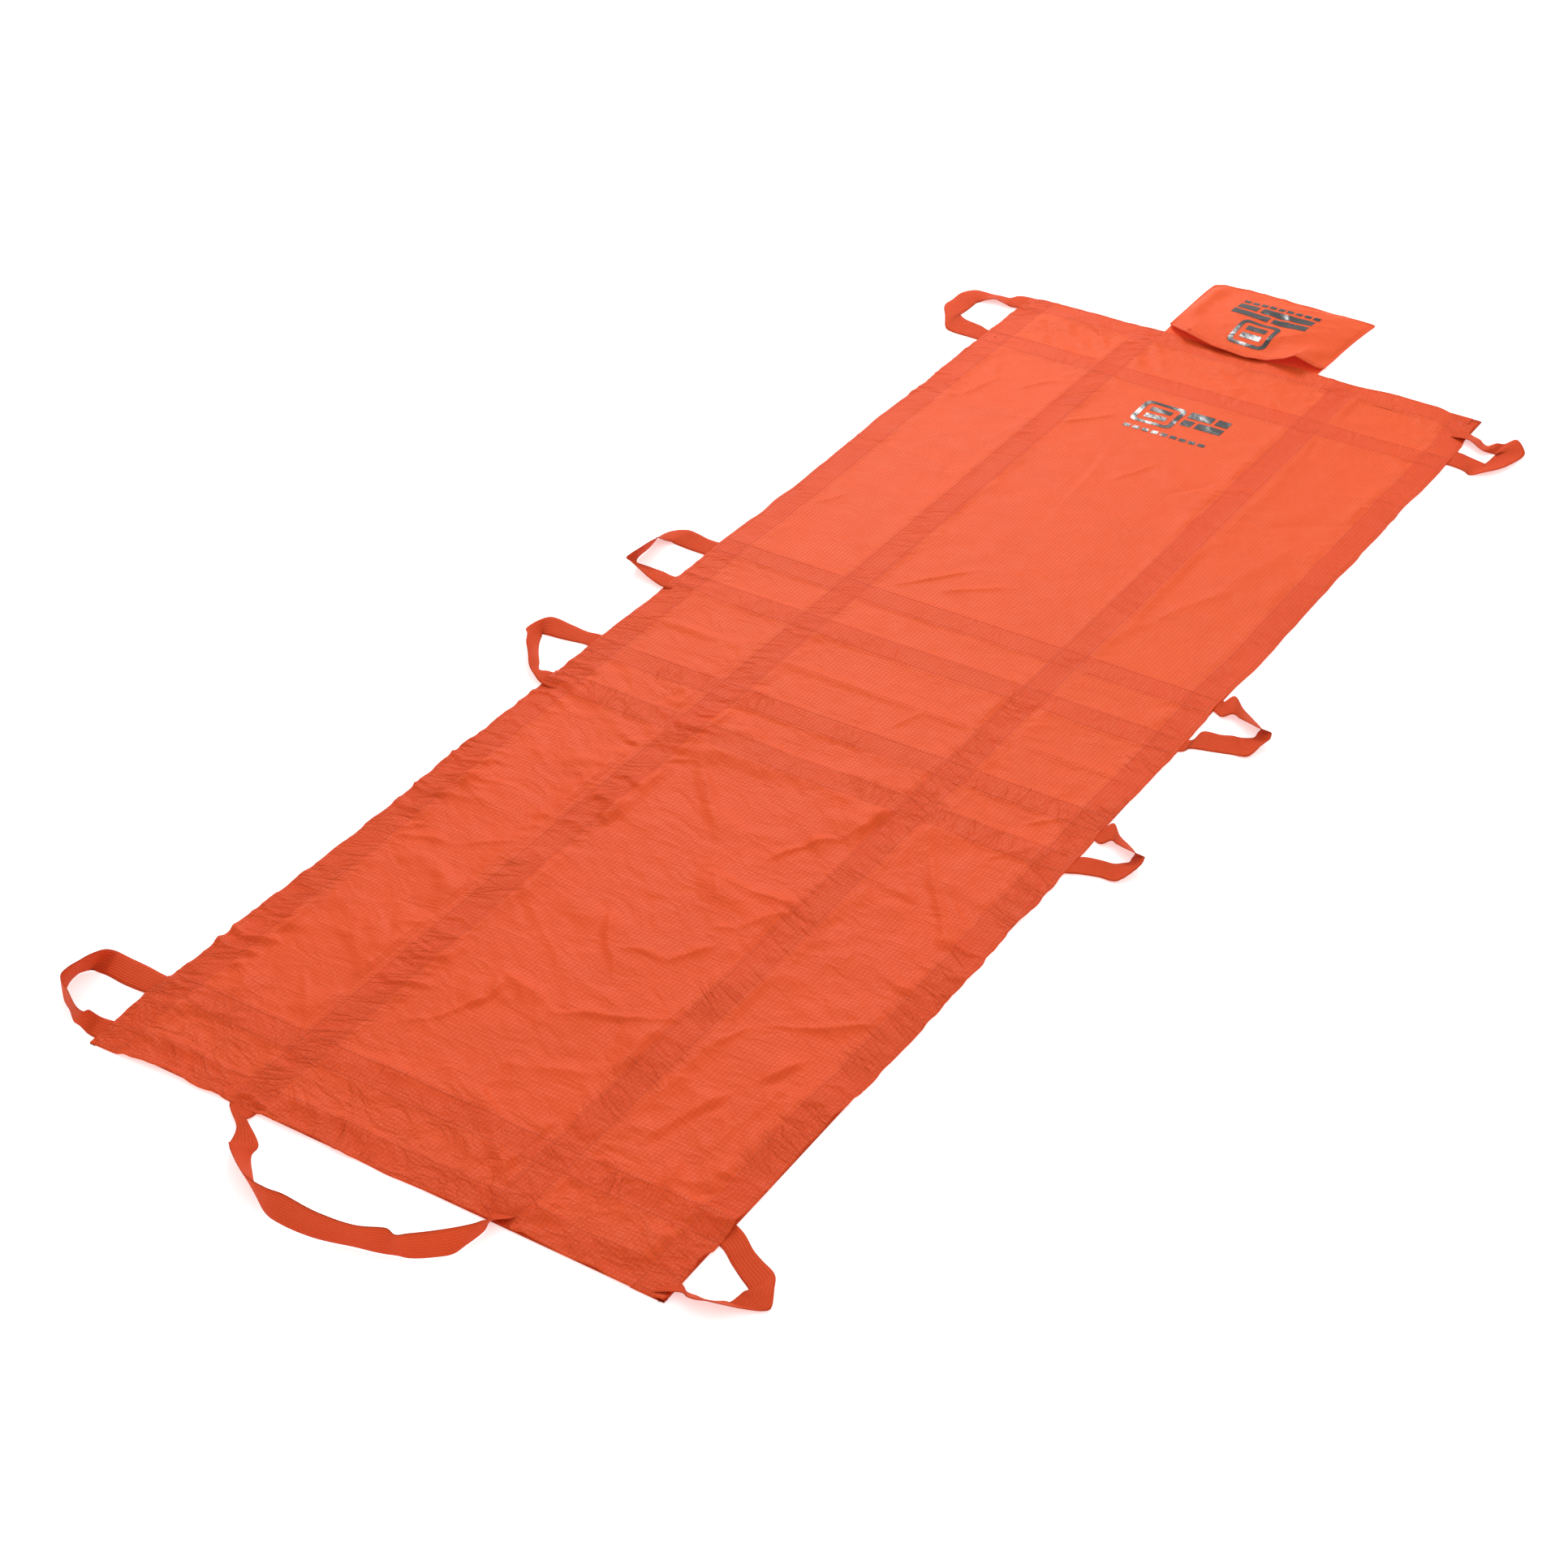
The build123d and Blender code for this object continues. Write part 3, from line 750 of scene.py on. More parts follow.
COLUMN_SPANS = {
    "left": (-SIDE_X, -CREASE_X),
    "centre": (-CREASE_X, CREASE_X),
    "right": (CREASE_X, SIDE_X),
}
ROW_SPANS = {"head": (CREASE_Y, HEAD_Y), "foot": (FOOT_Y, CREASE_Y)}

# The hem turns down round the webbing and back under it: out and down from the edge line, in
# millimetres, and how far its face has turned over, in degrees.
HEM_PROFILE = [(0.9, -0.5, 35), (1.1, -1.3, 80), (0.6, -2.0, 130), (-6, -2.35, 180)]
HEM_FLOOR = 0.25 * MM
HEM_TUCKED_Z = 0.2 * MM


def add_hem(grids, edge, axis, outward):
    """The panel's points, flat positions and normals, with the rolled hem beyond one edge."""
    base, base_flat = grids[0][edge], grids[1][edge]
    hem = [], [], []
    for number, (out, down, angle) in enumerate(HEM_PROFILE):
        moved = base.copy()
        moved[:, axis] += outward * (out * MM)
        moved[:, 2] = np.maximum(moved[:, 2] + down * MM, HEM_FLOOR) if out > 0 else HEM_TUCKED_Z
        shifted = base_flat.copy()
        shifted[:, axis] += outward * 1.2 * MM * (number + 1)
        turned = np.zeros_like(moved)
        turned[:, axis] = outward * math.sin(math.radians(angle))
        turned[:, 2] = math.cos(math.radians(angle))
        for rows, row in zip(hem, (moved, shifted, turned)):
            rows.append(row)
    joined = []
    for grid, rows in zip(grids, hem):
        parts = (np.stack(rows[::-1], axis), grid) if outward < 0 else (grid, np.stack(rows, axis))
        joined.append(np.concatenate(parts, axis))
    return joined


def panel(row, column):
    """One folding panel of the sheet, with the rolled hem on its outer edges."""
    x_low, x_high = COLUMN_SPANS[column]
    y_low, y_high = ROW_SPANS[row]
    rows = np.nonzero((U_LINES > x_low - 1e-6) & (U_LINES < x_high + 1e-6))[0]
    columns = np.nonzero((V_LINES > y_low - 1e-6) & (V_LINES < y_high + 1e-6))[0]
    points = SHEET[np.ix_(rows, columns)]
    normals = SHEET_NORMALS[np.ix_(rows, columns)]
    flat = np.stack(np.meshgrid(U_LINES[rows], V_LINES[columns], indexing="ij"), -1)

    grids = points, flat, normals
    if column != "centre":
        outward = SIDES[column]
        grids = add_hem(grids, (-1 if outward > 0 else 0, slice(None)), 0, outward)
    outward = 1 if row == "head" else -1
    grids = add_hem(grids, (slice(None), -1 if outward > 0 else 0), 1, outward)
    points, flat, normals = grids

    name = f"sheet_{row}_{column}"
    piece = mesh_object(f"{name}_cloth", points, grid_faces(*points.shape[:2]), SHEET_MATERIAL, flat, normals)
    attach(piece, f"{row}_{column}")
    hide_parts(name)


for row_name in ROW_SPANS:
    for column_name in COLUMN_SPANS:
        panel(row_name, column_name)

# ---- webbing ----


def smooth_path(points, step):
    """A centripetal Catmull-Rom curve through the points, sampled about every step."""
    points = np.asarray(points, float)
    padded = np.concatenate([[2 * points[0] - points[1]], points, [2 * points[-1] - points[-2]]])
    made = []
    for i in range(1, len(padded) - 2):
        p0, p1, p2, p3 = padded[i - 1:i + 3]
        t1 = max(np.linalg.norm((p1 - p0)[:3]), 1e-6) ** 0.5
        t2 = t1 + max(np.linalg.norm((p2 - p1)[:3]), 1e-6) ** 0.5
        t3 = t2 + max(np.linalg.norm((p3 - p2)[:3]), 1e-6) ** 0.5
        count = max(2, int(round(np.linalg.norm((p2 - p1)[:3]) / step)))
        for t in np.linspace(t1, t2, count, endpoint=False):
            a1 = p0 * (t1 - t) / t1 + p1 * t / t1
            a2 = p1 * (t2 - t) / (t2 - t1) + p2 * (t - t1) / (t2 - t1)
            a3 = p2 * (t3 - t) / (t3 - t2) + p3 * (t - t2) / (t3 - t2)
            b1 = a1 * (t2 - t) / t2 + a2 * t / t2
            b2 = a2 * (t3 - t) / (t3 - t1) + a3 * (t - t1) / (t3 - t1)
            made.append(b1 * (t2 - t) / (t2 - t1) + b2 * (t - t1) / (t2 - t1))
    made.append(points[-1])
    return np.array(made)


WEB_COLUMNS = 9
STRAP_FLOOR = 0.1 * MM


def strap_mesh(
    name, centre, wide, up, seed, cockle, width=WEB_WIDTH, thick=WEB_THICK, material=WEBBING_MATERIAL
):
    """A closed strap along centre points.  wide and up are unit vectors across it and out of it.

    seed chooses the relief of its cockles, and cockle is their height in metres.
    """
    width = np.broadcast_to(width, len(centre))
    across = np.linspace(-0.5, 0.5, WEB_COLUMNS)
    ring = np.concatenate([across, across[::-1]])
    half = thick / 2 * (1 - 0.55 * (2 * np.abs(across)) ** 6)
    depth = np.concatenate([half, -half[::-1]])
    travel = travelled(centre)
    s = np.repeat(travel[:, None], len(ring), 1)
    w = ring[None, :] * width[:, None]
    wobble = cockle * (relief(s / 0.022, w / 0.05, seed) + 0.6 * relief(s / 0.05, w / 0.03, seed + 5))
    points = centre[:, None, :] + w[..., None] * wide[:, None, :]
    points = points + (depth[None, :] + wobble)[..., None] * up[:, None, :]
    points[..., 2] = np.maximum(points[..., 2], STRAP_FLOOR)
    faces = grid_faces(len(centre), len(ring), closed_columns=True)[:, ::-1]
    first = list(range(len(ring)))
    last = [(len(centre) - 1) * len(ring) + i for i in range(len(ring))][::-1]
    caps = []
    for loop in (first, last):
        for i in range(WEB_COLUMNS - 1):
            caps.append([loop[i], loop[i + 1], loop[-2 - i], loop[-1 - i]])
    uvs = np.stack([s, w + 0.002 * np.sign(depth)[None, :]], -1)
    faces = np.concatenate([faces, np.array(caps)])
    return mesh_object(name, points, faces, material, uvs)


def flat_strap(name, start, end, z_low, seed, step=12 * MM, refine=()):
    """A straight strap lying flat between two (x, y) points, its underside at z_low."""
    start = np.array(start, float)
    end = np.array(end, float)
    length = np.linalg.norm(end - start)
    t = np.unique(np.concatenate([np.linspace(0, 1, max(2, int(length / step))), *refine]))
    xy = start + (end - start) * t[:, None]
    centre = np.column_stack([xy, np.full(len(t), z_low + WEB_THICK / 2)])
    along = np.append((end - start) / length, 0)
    wide = np.tile(np.cross([0, 0, 1], along), (len(t), 1))
    up = np.tile([0.0, 0.0, 1.0], (len(t), 1))
    return strap_mesh(name, centre, wide, up, seed, 0.12 * MM)


BEND = 4 * MM  # length of webbing that wraps round a crease
END_DROP = 0.3 * MM  # keeps the handles' sewn ends under the cloth
LIFT = 0.35 * MM  # keeps the lowest webbing clear of the hem's turned-in edge


def share_at(value, start, end, count=6, reach=BEND):
    """Fractions of a strap's length where extra rows are wanted to wrap round a crease."""
    total = end - start
    return np.clip((np.linspace(value, value + math.copysign(reach, total), count) - start) / total, 0, 1)


for side, sign in SIDES.items():
    # Long webbing from the head edge to the foot edge, with extra rows where it crosses the crosswise crease.
    x = sign * LONG_X
    rows = share_at(CREASE_Y, HEAD_Y, FOOT_Y)
    ends = (x, HEAD_Y - 3 * MM), (x, FOOT_Y + 2 * MM)
    web = flat_strap(f"long_webbing_{side}", *ends, LIFT, 3 + sign, refine=(rows,))
    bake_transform(web)
    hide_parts(f"long_webbing_head_{side}", f"long_webbing_foot_{side}")
    # Edge webbing inside the side hem, one piece for each panel.
    for row_name, (y_low, y_high) in ROW_SPANS.items():
        x = sign * (EDGE_X - 1 * MM)
        web = flat_strap(f"edge_webbing_{row_name}_{side}_strap", (x, y_low), (x, y_high), LIFT, 7 + sign)
        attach(web, f"{row_name}_{side}")
        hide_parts(f"edge_webbing_{row_name}_{side}")

for number, (band, y) in enumerate(BAND_Y.items()):
    row_name = ROW_OF_BAND[band]
    z = CROSS_Z + LIFT / 2
    web = flat_strap(f"strap_{band}_centre_web", (-CREASE_X, y), (CREASE_X, y), z, 20 + number)
    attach(web, f"{row_name}_centre")
    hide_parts(f"strap_{band}_centre")
    for side, sign in SIDES.items():
        start_x, end_x = sign * CREASE_X, sign * (SIDE_X - 14 * MM)
        rows = share_at(start_x, start_x, end_x)
        web = flat_strap(f"strap_{band}_{side}_web", (start_x, y), (end_x, y), z, 40 + number, refine=(rows,))
        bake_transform(web)
        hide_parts(f"strap_{band}_{side}")

# ---- handles ----
# Each handle is a strap given by its two rims, from its upper root to its lower one.  A row is
# (out, y, z) of one rim and then of the other, in millimetres: out from the sheet's side
# edge, y from the middle of the loop, z above the strap's resting height.  Straps lie flat, lean on
# one rim where they turn, and fold over themselves.
HANDLES = {
    "head_left": [
        (-24, 80, 0, -24, 42, 0), (3, 79, 1, 2, 39, 1), (21, 77, 0, 13, 36, 2), (29, 66, 0, 21, 34, 6),
        (43, 65, 0, 37, 36, 8), (57, 62, 0, 45, 32, 7), (70, 62, 0, 54, 31, 3), (85, 60, 0, 60, 28, 0),
        (97, 43, 0, 62, 22, 0), (98, 15, 0, 62, 5, 0), (98, -7, 0, 62, -10, 0),
        (80, -38, 1, 62, -20, 1), (60, -70, 0, 60, -25, 1), (50, -75, 0, 50, -30, 0),
        (23, -77, 0, 22, -36, 0), (2, -78, 0, 4, -44, 0), (-24, -80, 0, -24, -42, 0),
    ],
    "head_right": [
        (-24, 52, 0, -24, 16, 0), (4, 36, 0, 8, 6, 9), (16, 32, 0, 19, -1, 10), (24, 24, 0, 27, -6, 9),
        (31, 21, 0, 35, -11, 9), (42, 24, 6, 41, 0, 2), (50, 31, 4, 46, 4, 0), (62, 44, 8, 50, 0, 2),
        (81, 27, 3, 50, 3, 1), (83, 17, 2, 49, 0, 1), (79, -17, 5, 48, -11, 0),
        (71, -41, 7, 47, -18, 0), (60, -57, 7, 46, -25, 0), (39, -67, 0, 44, -26, 0),
        (31, -62, 0, 24, -22, 0), (8, -58, 0, 5, -18, 0), (-24, -64, 0, -24, -26, 0),
    ],
    "mid_a_left": [
        (-24, 60, 0, -24, 22, 0), (1, 53, 0, 1, 18, 0), (20, 53, 0, 20, 18, 0), (35, 53, 3, 36, 19, 0),
        (48, 52, 5, 48, 20, 0), (66, 52, 0, 54, 17, 4), (74, 41, 0, 58, 10, 8), (77, 21, 0, 60, -4, 18),
        (71, -12, 0, 54, -12, 24), (70, -30, 0, 53, -30, 28), (66, -43, 0, 55, -51, 28),
        (60, -45, 0, 61, -70, 24), (50, -44, 0, 55, -72, 20), (40, -44, 0, 40, -74, 14),
        (25, -44, 0, 22, -77, 8), (4, -47, 0, 2, -80, 4), (-24, -34, 0, -24, -72, 0),
    ],
    "mid_a_right": [
        (-24, 71, 0, -24, 36, 0), (-2, 71, 0, -5, 46, 0), (2, 67, 1, 11, 36, 1), (11, 75, 8, 25, 39, 8),
        (29, 62, 4, 38, 33, 10), (48, 51, 1, 58, 21, 16), (61, 42, 0, 71, 14, 19),
        (62, 31, 0, 85, 13, 20), (63, 21, 0, 88, 9, 19), (60, 17, 0, 88, 5, 15),
        (55, 14, 0, 82, -5, 10), (53, 13, 0, 79, -16, 6), (47, 11, 0, 73, -25, 3),
        (41, 9, 1, 58, -26, 1), (28, 5, 0, 38, -31, 0), (8, -2, 1, 12, -41, 1), (4, -25, 0, 5, -52, 0),
        (-24, -30, 0, -24, -66, 0),
    ],
    "mid_b_left": [
        (-24, 67, 0, -24, 32, 0), (6, 67, 0, 6, 39, 0), (21, 65, 0, 20, 38, 0), (48, 67, 0, 40, 34, 0),
        (74, 61, 6, 63, 31, 0), (72, 6, 20, 63, 24, 0), (60, -8, 24, 57, 11, 0),
        (49, -25, 24, 45, -7, 0), (37, -38, 20, 33, -22, 0), (24, -53, 14, 22, -36, 0),
        (12, -59, 8, 12, -33, 0), (1, -63, 4, 2, -32, 0), (-24, -62, 0, -24, -26, 0),
    ],
    "mid_b_right": [
        (-24, 44, 0, -24, 10, 0), (-4, 42, 0, -7, 18, 0), (-1, 41, 1, 7, 11, 1), (8, 46, 8, 20, 15, 8),
        (22, 34, 4, 29, 11, 10), (38, 26, 2, 46, 1, 16), (48, 20, 0, 58, -4, 19),
        (50, 8, 0, 71, -6, 20), (51, 0, 0, 73, -9, 20), (48, -3, 0, 73, -15, 16),
        (43, -7, 0, 67, -29, 10), (38, -10, 0, 58, -41, 4), (22, -14, 1, 35, -43, 1),
        (8, -18, 1, 15, -50, 1), (-1, -24, 1, 4, -56, 1), (-24, -30, 0, -24, -66, 0),
    ],
    "foot_left": [
        (-24, 60, 0, -24, 25, 0), (2, 52, 0, 4, 19, 0), (32, 54, 0, 33, 18, 0), (60, 55, 0, 60, 20, 0),
        (73, 54, 2, 70, 19, 0), (72, 42, 14, 77, 18, 0), (65, 21, 30, 82, 14, 0), (69, 8, 31, 86, 6, 0),
        (71, -4, 31, 85, -6, 0), (72, -20, 32, 80, -18, 0), (71, -31, 30, 72, -30, 0),
        (50, -44, 28, 63, -38, 0), (29, -55, 24, 50, -45, 0), (16, -57, 24, 35, -55, 0),
        (16, -51, 22, 28, -56, 0), (11, -37, 3, 8, -62, 0), (-24, -27, 0, -24, -62, 0),
    ],
    "foot_right": [
        (-24, 66, 0, -24, 31, 0), (9, 55, 0, 4, 26, 0), (31, 40, 0, 24, 13, 0), (45, 33, 0, 40, 3, 0),
        (66, 22, 2, 55, -6, 0), (77, 4, 5, 54, -12, 2), (87, -19, 3, 52, -20, 1),
        (83, -24, 3, 50, -27, 0), (68, -36, 8, 44, -30, 0), (54, -52, 20, 36, -35, 0),
        (43, -59, 24, 28, -38, 0), (34, -61, 22, 19, -38, 0), (25, -61, 20, 10, -39, 0),
        (11, -53, 12, 1, -34, 0), (-24, -62, 0, -24, -27, 0),
    ],
}
# The drag handle, from its left root to its right one, as x and as y from the foot edge.
DRAG = [
    (-172, 20, 0, -136, 20, 0), (-168, -3, 1, -135, -6, 1), (-157, -14, 4, -136, -15, 3),
    (-136, -30, 4, -133, -17, 4), (-122, -56, 10, -104, -35, 0), (-112, -66, 24, -100, -50, 0),
    (-98, -79, 30, -88, -64, 0), (-64, -99, 32, -59, -91, 0), (-33, -103, 33, -35, -105, 0),
    (-15, -101, 33, -18, -108, 0), (27, -103, 33, 23, -106, 0), (69, -98, 33, 65, -95, 0),
    (97, -85, 33, 94, -87, 0), (109, -88, 33, 105, -83, 0), (118, -80, 33, 115, -80, 0),
    (138, -62, 33, 135, -66, 0), (148, -44, 28, 147, -53, 0), (155, -29, 24, 150, -37, 0),
    (158, -20, 22, 153, -13, 0), (168, 6, 8, 140, 8, 0), (170, 22, 0, 134, 22, 0),
]


def ribbon(name, rims, base_z, seed):
    """A strap between two rims.  rims has six columns, x, y and z of one rim and of the other."""
    path = smooth_path(rims, 3 * MM)
    one, other = path[:, :3].copy(), path[:, 3:].copy()
    # The strap drops from under the sheet onto the floor over its first and last centimetres.
    travel = travelled((one + other) / 2)
    from_end = np.minimum(travel, travel[-1] - travel)
    height = 0.8 * MM + (base_z - 0.8 * MM) * smoothstep(60 * MM, 30 * MM, from_end)
    one[:, 2] += height
    other[:, 2] += height
    centre = (one + other) / 2
    wide = one - other
    width = np.linalg.norm(wide, axis=1)
    wide /= width[:, None]
    tangent = np.gradient(centre, axis=0)
    up = np.cross(tangent, wide)
    for _ in range(2):
        up[1:-1] = (up[:-2] + 2 * up[1:-1] + up[2:]) / 4
    up = unit(up)
    cockle = 0.5 * MM * smoothstep(22 * MM, 55 * MM, from_end)[:, None]
    return strap_mesh(name, centre, wide, up, seed, cockle, width)


for number, (key, rows) in enumerate(HANDLES.items()):
    loop, side = key.rsplit("_", 1)
    sign = SIDES[side]
    middle = sum(BAND_Y[band] for band in LOOP_BANDS[loop]) / 2
    rims = np.array(rows, float) * MM
    rims[:, [0, 3]] = sign * (SIDE_X + rims[:, [0, 3]])
    rims[:, [1, 4]] += middle
    grip = ribbon(f"{loop}_handle_{side}_strap", rims, CROSS_Z + WEB_THICK / 2 - END_DROP, 60 + number)
    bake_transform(grip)
    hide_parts(f"{loop}_handle_{side}")

drag_rims = np.array(DRAG, float) * MM
drag_rims[:, [1, 4]] += FOOT_Y
drag = ribbon("drag_handle_strap", drag_rims, LIFT + WEB_THICK / 2, 90)
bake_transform(drag)
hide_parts("drag_handle")

# ---- pouch ----

POUCH_LEFT = low("pouch_back").x
POUCH_RIGHT = high("pouch_back").x
POUCH_END = high("pouch_back").y
POUCH_START = low("pouch_back").y
MOUTH_Y = box_middle("pouch_mouth_hem")[1]
POUCH_ROWS, POUCH_COLUMNS = 84, 66


def pouch_front_surface(s, t, lift=0.0):
    """The pouch's front.  s runs from its left side to its right, t from its mouth to its closed end."""
    s, t = np.broadcast_arrays(np.asarray(s, float), np.asarray(t, float))
    stations = (0, 0.144, 0.344, 0.564, 0.68, 0.796, 0.85, 0.96, 1)
    bow = np.interp(s, stations, (15, -12, -21, -23, -17, -15, -11, 2, 6)) * MM
    gape = np.interp(s, stations, (5, 16, 10, 7, 7.5, 17, 24, 8, 5)) * MM
    end = np.interp(s, (0, 0.05, 0.2, 0.5, 0.75, 1), (-9, -2, 0, -4, -6, -3)) * MM
    left = POUCH_LEFT + (1 - 3 * t - 5 * t * (1 - t)) * MM
    right = POUCH_RIGHT + (-8 + 6 * t - 14 * t * (1 - t)) * MM
    x = left + (right - left) * s
    mouth = MOUTH_Y + bow
    y = mouth + (POUCH_END + end - mouth) * t
    side = np.clip(np.sin(math.pi * s), 0, 1) ** 0.55
    belly = 11 * side * np.clip(np.sin(math.pi * (0.12 + 0.83 * t)), 0, 1) ** 0.8
    roll = 5.5 * np.exp(-(((s - 0.06) / 0.05) ** 2)) * smoothstep(0, 0.25, t) * smoothstep(1.05, 0.8, t)
    creases = (
        1.1 * relief(s * 2.4 + t * 1.5, t * 2.2 - s, 201)
        + 0.9 * (1 - 2 * np.abs(relief(s * 3.1 - t * 1.7, t * 2.4 + s * 1.2, 202)))
        + 0.5 * (1 - 2 * np.abs(relief(s * 8 + t * 4, t * 7 - s * 3, 203)))
    )
    fan = 2.6 * np.exp(-((s - 0.94) ** 2 + (t - 0.12) ** 2) / 0.03) * np.sin(26 * (s - t * 0.4))
    z = 1.9 * MM + belly * MM * smoothstep(0, 0.3, t) + roll * MM
    z += (1.5 * creases * side * (0.35 + 0.65 * smoothstep(0, 0.2, t)) + fan * smoothstep(0, 0.1, t)) * MM
    z = z * smoothstep(-0.05, 0.45, t) + gape * (1 - smoothstep(-0.05, 0.45, t))
    z = np.maximum(z, 1.7 * MM)
    return np.stack([x, y, z + lift], -1)


def lay_pouch():
    """The pouch's pieces: back, front, sewn sides and end, hemmed mouth."""
    width = POUCH_RIGHT - POUCH_LEFT
    s, t = np.meshgrid(np.linspace(0, 1, POUCH_ROWS), np.linspace(0, 1, POUCH_COLUMNS), indexing="ij")
    faces = grid_faces(POUCH_ROWS, POUCH_COLUMNS)
    front = pouch_front_surface(s, t)
    flat = np.stack([POUCH_LEFT + width * s, MOUTH_Y + (POUCH_END - MOUTH_Y) * t], -1)
    piece = mesh_object("pouch_front_cloth", front, faces, POUCH_MATERIAL, flat, surface_normals(front))
    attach(piece, "pouch")
    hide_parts("pouch_front")

    # The back hangs from under the head hem, lies on the floor and meets the front round its rim.
    rim = pouch_front_surface(s, 1.0)[..., 1]
    near = POUCH_START - 10 * MM
    x = pouch_front_surface(s, t)[..., 0]
    y = near + (rim - 1 * MM - near) * t
    z = (0.9 + 0.35 * relief(s * 5, t * 4, 211) + 0.25 * relief(s * 13, t * 11, 212)) * MM
    z += 0.9 * MM * np.exp(-(((y - POUCH_START) / 0.012) ** 2)) * (0.5 + 0.5 * relief(s * 16, t * 0, 213))
    back = np.stack([x, y, z], -1)
    flat = np.stack([x, y], -1)
    piece = mesh_object("pouch_back_cloth", back, faces, POUCH_BACK_MATERIAL, flat, surface_normals(back))
    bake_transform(piece)
    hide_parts("pouch_back")

    # A narrow rolled seam joins front and back down both sides and across the closed end.
    t_side = np.linspace(0.02, 1, 60)
    s_end = np.linspace(0, 1, 80)[1:-1]
    sides = (0.0, t_side), (s_end, 1.0), (1.0, t_side[::-1])
    line = np.concatenate([pouch_front_surface(*side) for side in sides])
    line[:, 2] = np.maximum(line[:, 2] - 0.5 * MM, 1.5 * MM)
    tangent = unit(np.gradient(line, axis=0))
    wide = unit(np.column_stack([-tangent[:, 1], tangent[:, 0], np.zeros(len(line))]))
    up = np.cross(tangent, wide)
    seam = strap_mesh("pouch_edge_seam", line, wide, up, 216, 0.25 * MM, 5 * MM, 1.9 * MM, BINDING_MATERIAL)
    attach(seam, "pouch")
    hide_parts("pouch_edge_binding")

    # The mouth's hem is folded under, a doubled band with two rows of sewing.
    s_line = np.linspace(0.005, 0.995, 110)
    edge = pouch_front_surface(s_line, 0.0)
    inward = pouch_front_surface(s_line, 0.075)
    tangent = unit(np.gradient(edge, axis=0))
    wide = inward - edge
    wide = unit(wide - (wide * tangent).sum(1, keepdims=True) * tangent)
    up = np.cross(tangent, wide)
    band = edge + wide * 5 * MM
    size = 12 * MM, 1.5 * MM
    hem = strap_mesh("pouch_mouth_hem_band", band, wide, up, 217, 0.3 * MM, *size, BINDING_MATERIAL)
    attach(hem, "pouch")
    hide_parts("pouch_mouth_hem")
    stitches_on_pouch = []
    for offset in (0.4 * MM, 8.5 * MM):
        places = edge + wide * offset + up * 0.75 * MM
        stitches_on_pouch.append((places[:-1], places[:-1] + 0.62 * (places[1:] - places[:-1])))
    return stitches_on_pouch


MOUTH_SEWING = lay_pouch()

# ---- prints ----
# A plain mark on the sheet and on the pouch: a rounded frame round two bars, and more bars beside it.


def outline(cx, cy, half, corner, count=96):
    """A square with rounded corners as a closed line of evenly shared points."""
    points = []
    for quarter in range(4):
        centre_x = cx + (half - corner) * (1, -1, -1, 1)[quarter]
        centre_y = cy + (half - corner) * (1, 1, -1, -1)[quarter]
        for k in range(9):
            angle = math.pi / 2 * (quarter + k / 8)
            points.append((centre_x + corner * math.cos(angle), centre_y + corner * math.sin(angle)))
    points.append(points[0])
    points = np.array(points)
    travel = travelled(points)
    even = np.linspace(0, travel[-1], count, endpoint=False)
    return np.stack([np.interp(even, travel, points[:, axis]) for axis in range(2)], -1)


def print_patches(stacked):
    """The mark's patches about its own middle, each a grid of (x, y) points in metres."""
    frame_x, frame_y = (0, 30) if stacked else (-33, 14)
    outer = outline(frame_x, frame_y, 31, 10)
    inner = outline(frame_x, frame_y, 24, 6)
    ring = np.stack([inner + (outer - inner) * k / 3 for k in range(4)])
    patches = [np.concatenate([ring, ring[:, :1]], 1)[::-1]]

    def block(x0, y0, x1, y1):
        x, y = (np.linspace(a, b, max(2, int((b - a) / 2.5) + 1)) for a, b in ((x0, x1), (y0, y1)))
        patches.append(np.stack(np.meshgrid(x, y, indexing="ij"), -1))

    block(frame_x - 16, frame_y + 4, frame_x + 16, frame_y + 15)
    block(frame_x - 16, frame_y - 15, frame_x + 16, frame_y - 4)
    if stacked:
        bars = [(-60, -24, -6, -10), (0, -24, 60, -10), (-60, -44, 22, -30), (28, -44, 60, -30)]
        row_y = -58
    else:
        bars = [(4, 27, 40, 44), (45, 27, 64, 44), (4, 3, 20, 20), (25, 3, 64, 20)]
        row_y = -38
    for bar in bars:
        block(*bar)
    for k in range(9):
        block(-62 + 14 * k, row_y, -62 + 14 * k + 10, row_y + 8)
    return [patch * MM for patch in patches]


def lay_print(name, place, stacked, body, node):
    """Lays the mark on a surface.  place turns the mark's points into points in space."""
    points, faces, uvs, first = [], [], [], 0
    for patch in print_patches(stacked):
        placed = place(patch[..., 0], patch[..., 1])
        points.append(placed.reshape(-1, 3))
        uvs.append(patch.reshape(-1, 2))
        faces.append(grid_faces(*patch.shape[:2]) + first)
        first += patch.shape[0] * patch.shape[1]
    mark = mesh_object(name, np.concatenate(points), np.concatenate(faces), INK_MATERIAL, np.concatenate(uvs))
    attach(mark, body)
    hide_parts(node)


PRINT_LIFT = 0.35 * MM
print_x, print_y = box_middle("sheet_print")
pouch_x, pouch_y = box_middle("pouch_print")


def on_head(x, y):
    return on_sheet(print_x + x, print_y + y, PRINT_LIFT)


def on_pouch(x, y):
    """The mark on the pouch reads from the mouth's far side, so it is turned half round."""
    s = (pouch_x - x - POUCH_LEFT) / (POUCH_RIGHT - POUCH_LEFT)
    t = (pouch_y - y - MOUTH_Y) / (POUCH_END - MOUTH_Y)
    return pouch_front_surface(s, t, PRINT_LIFT + 0.1 * MM)


lay_print("sheet_mark", on_head, False, "head_centre", "sheet_print")
lay_print("pouch_mark", on_pouch, True, "pouch", "pouch_print")

# ---- sewing ----

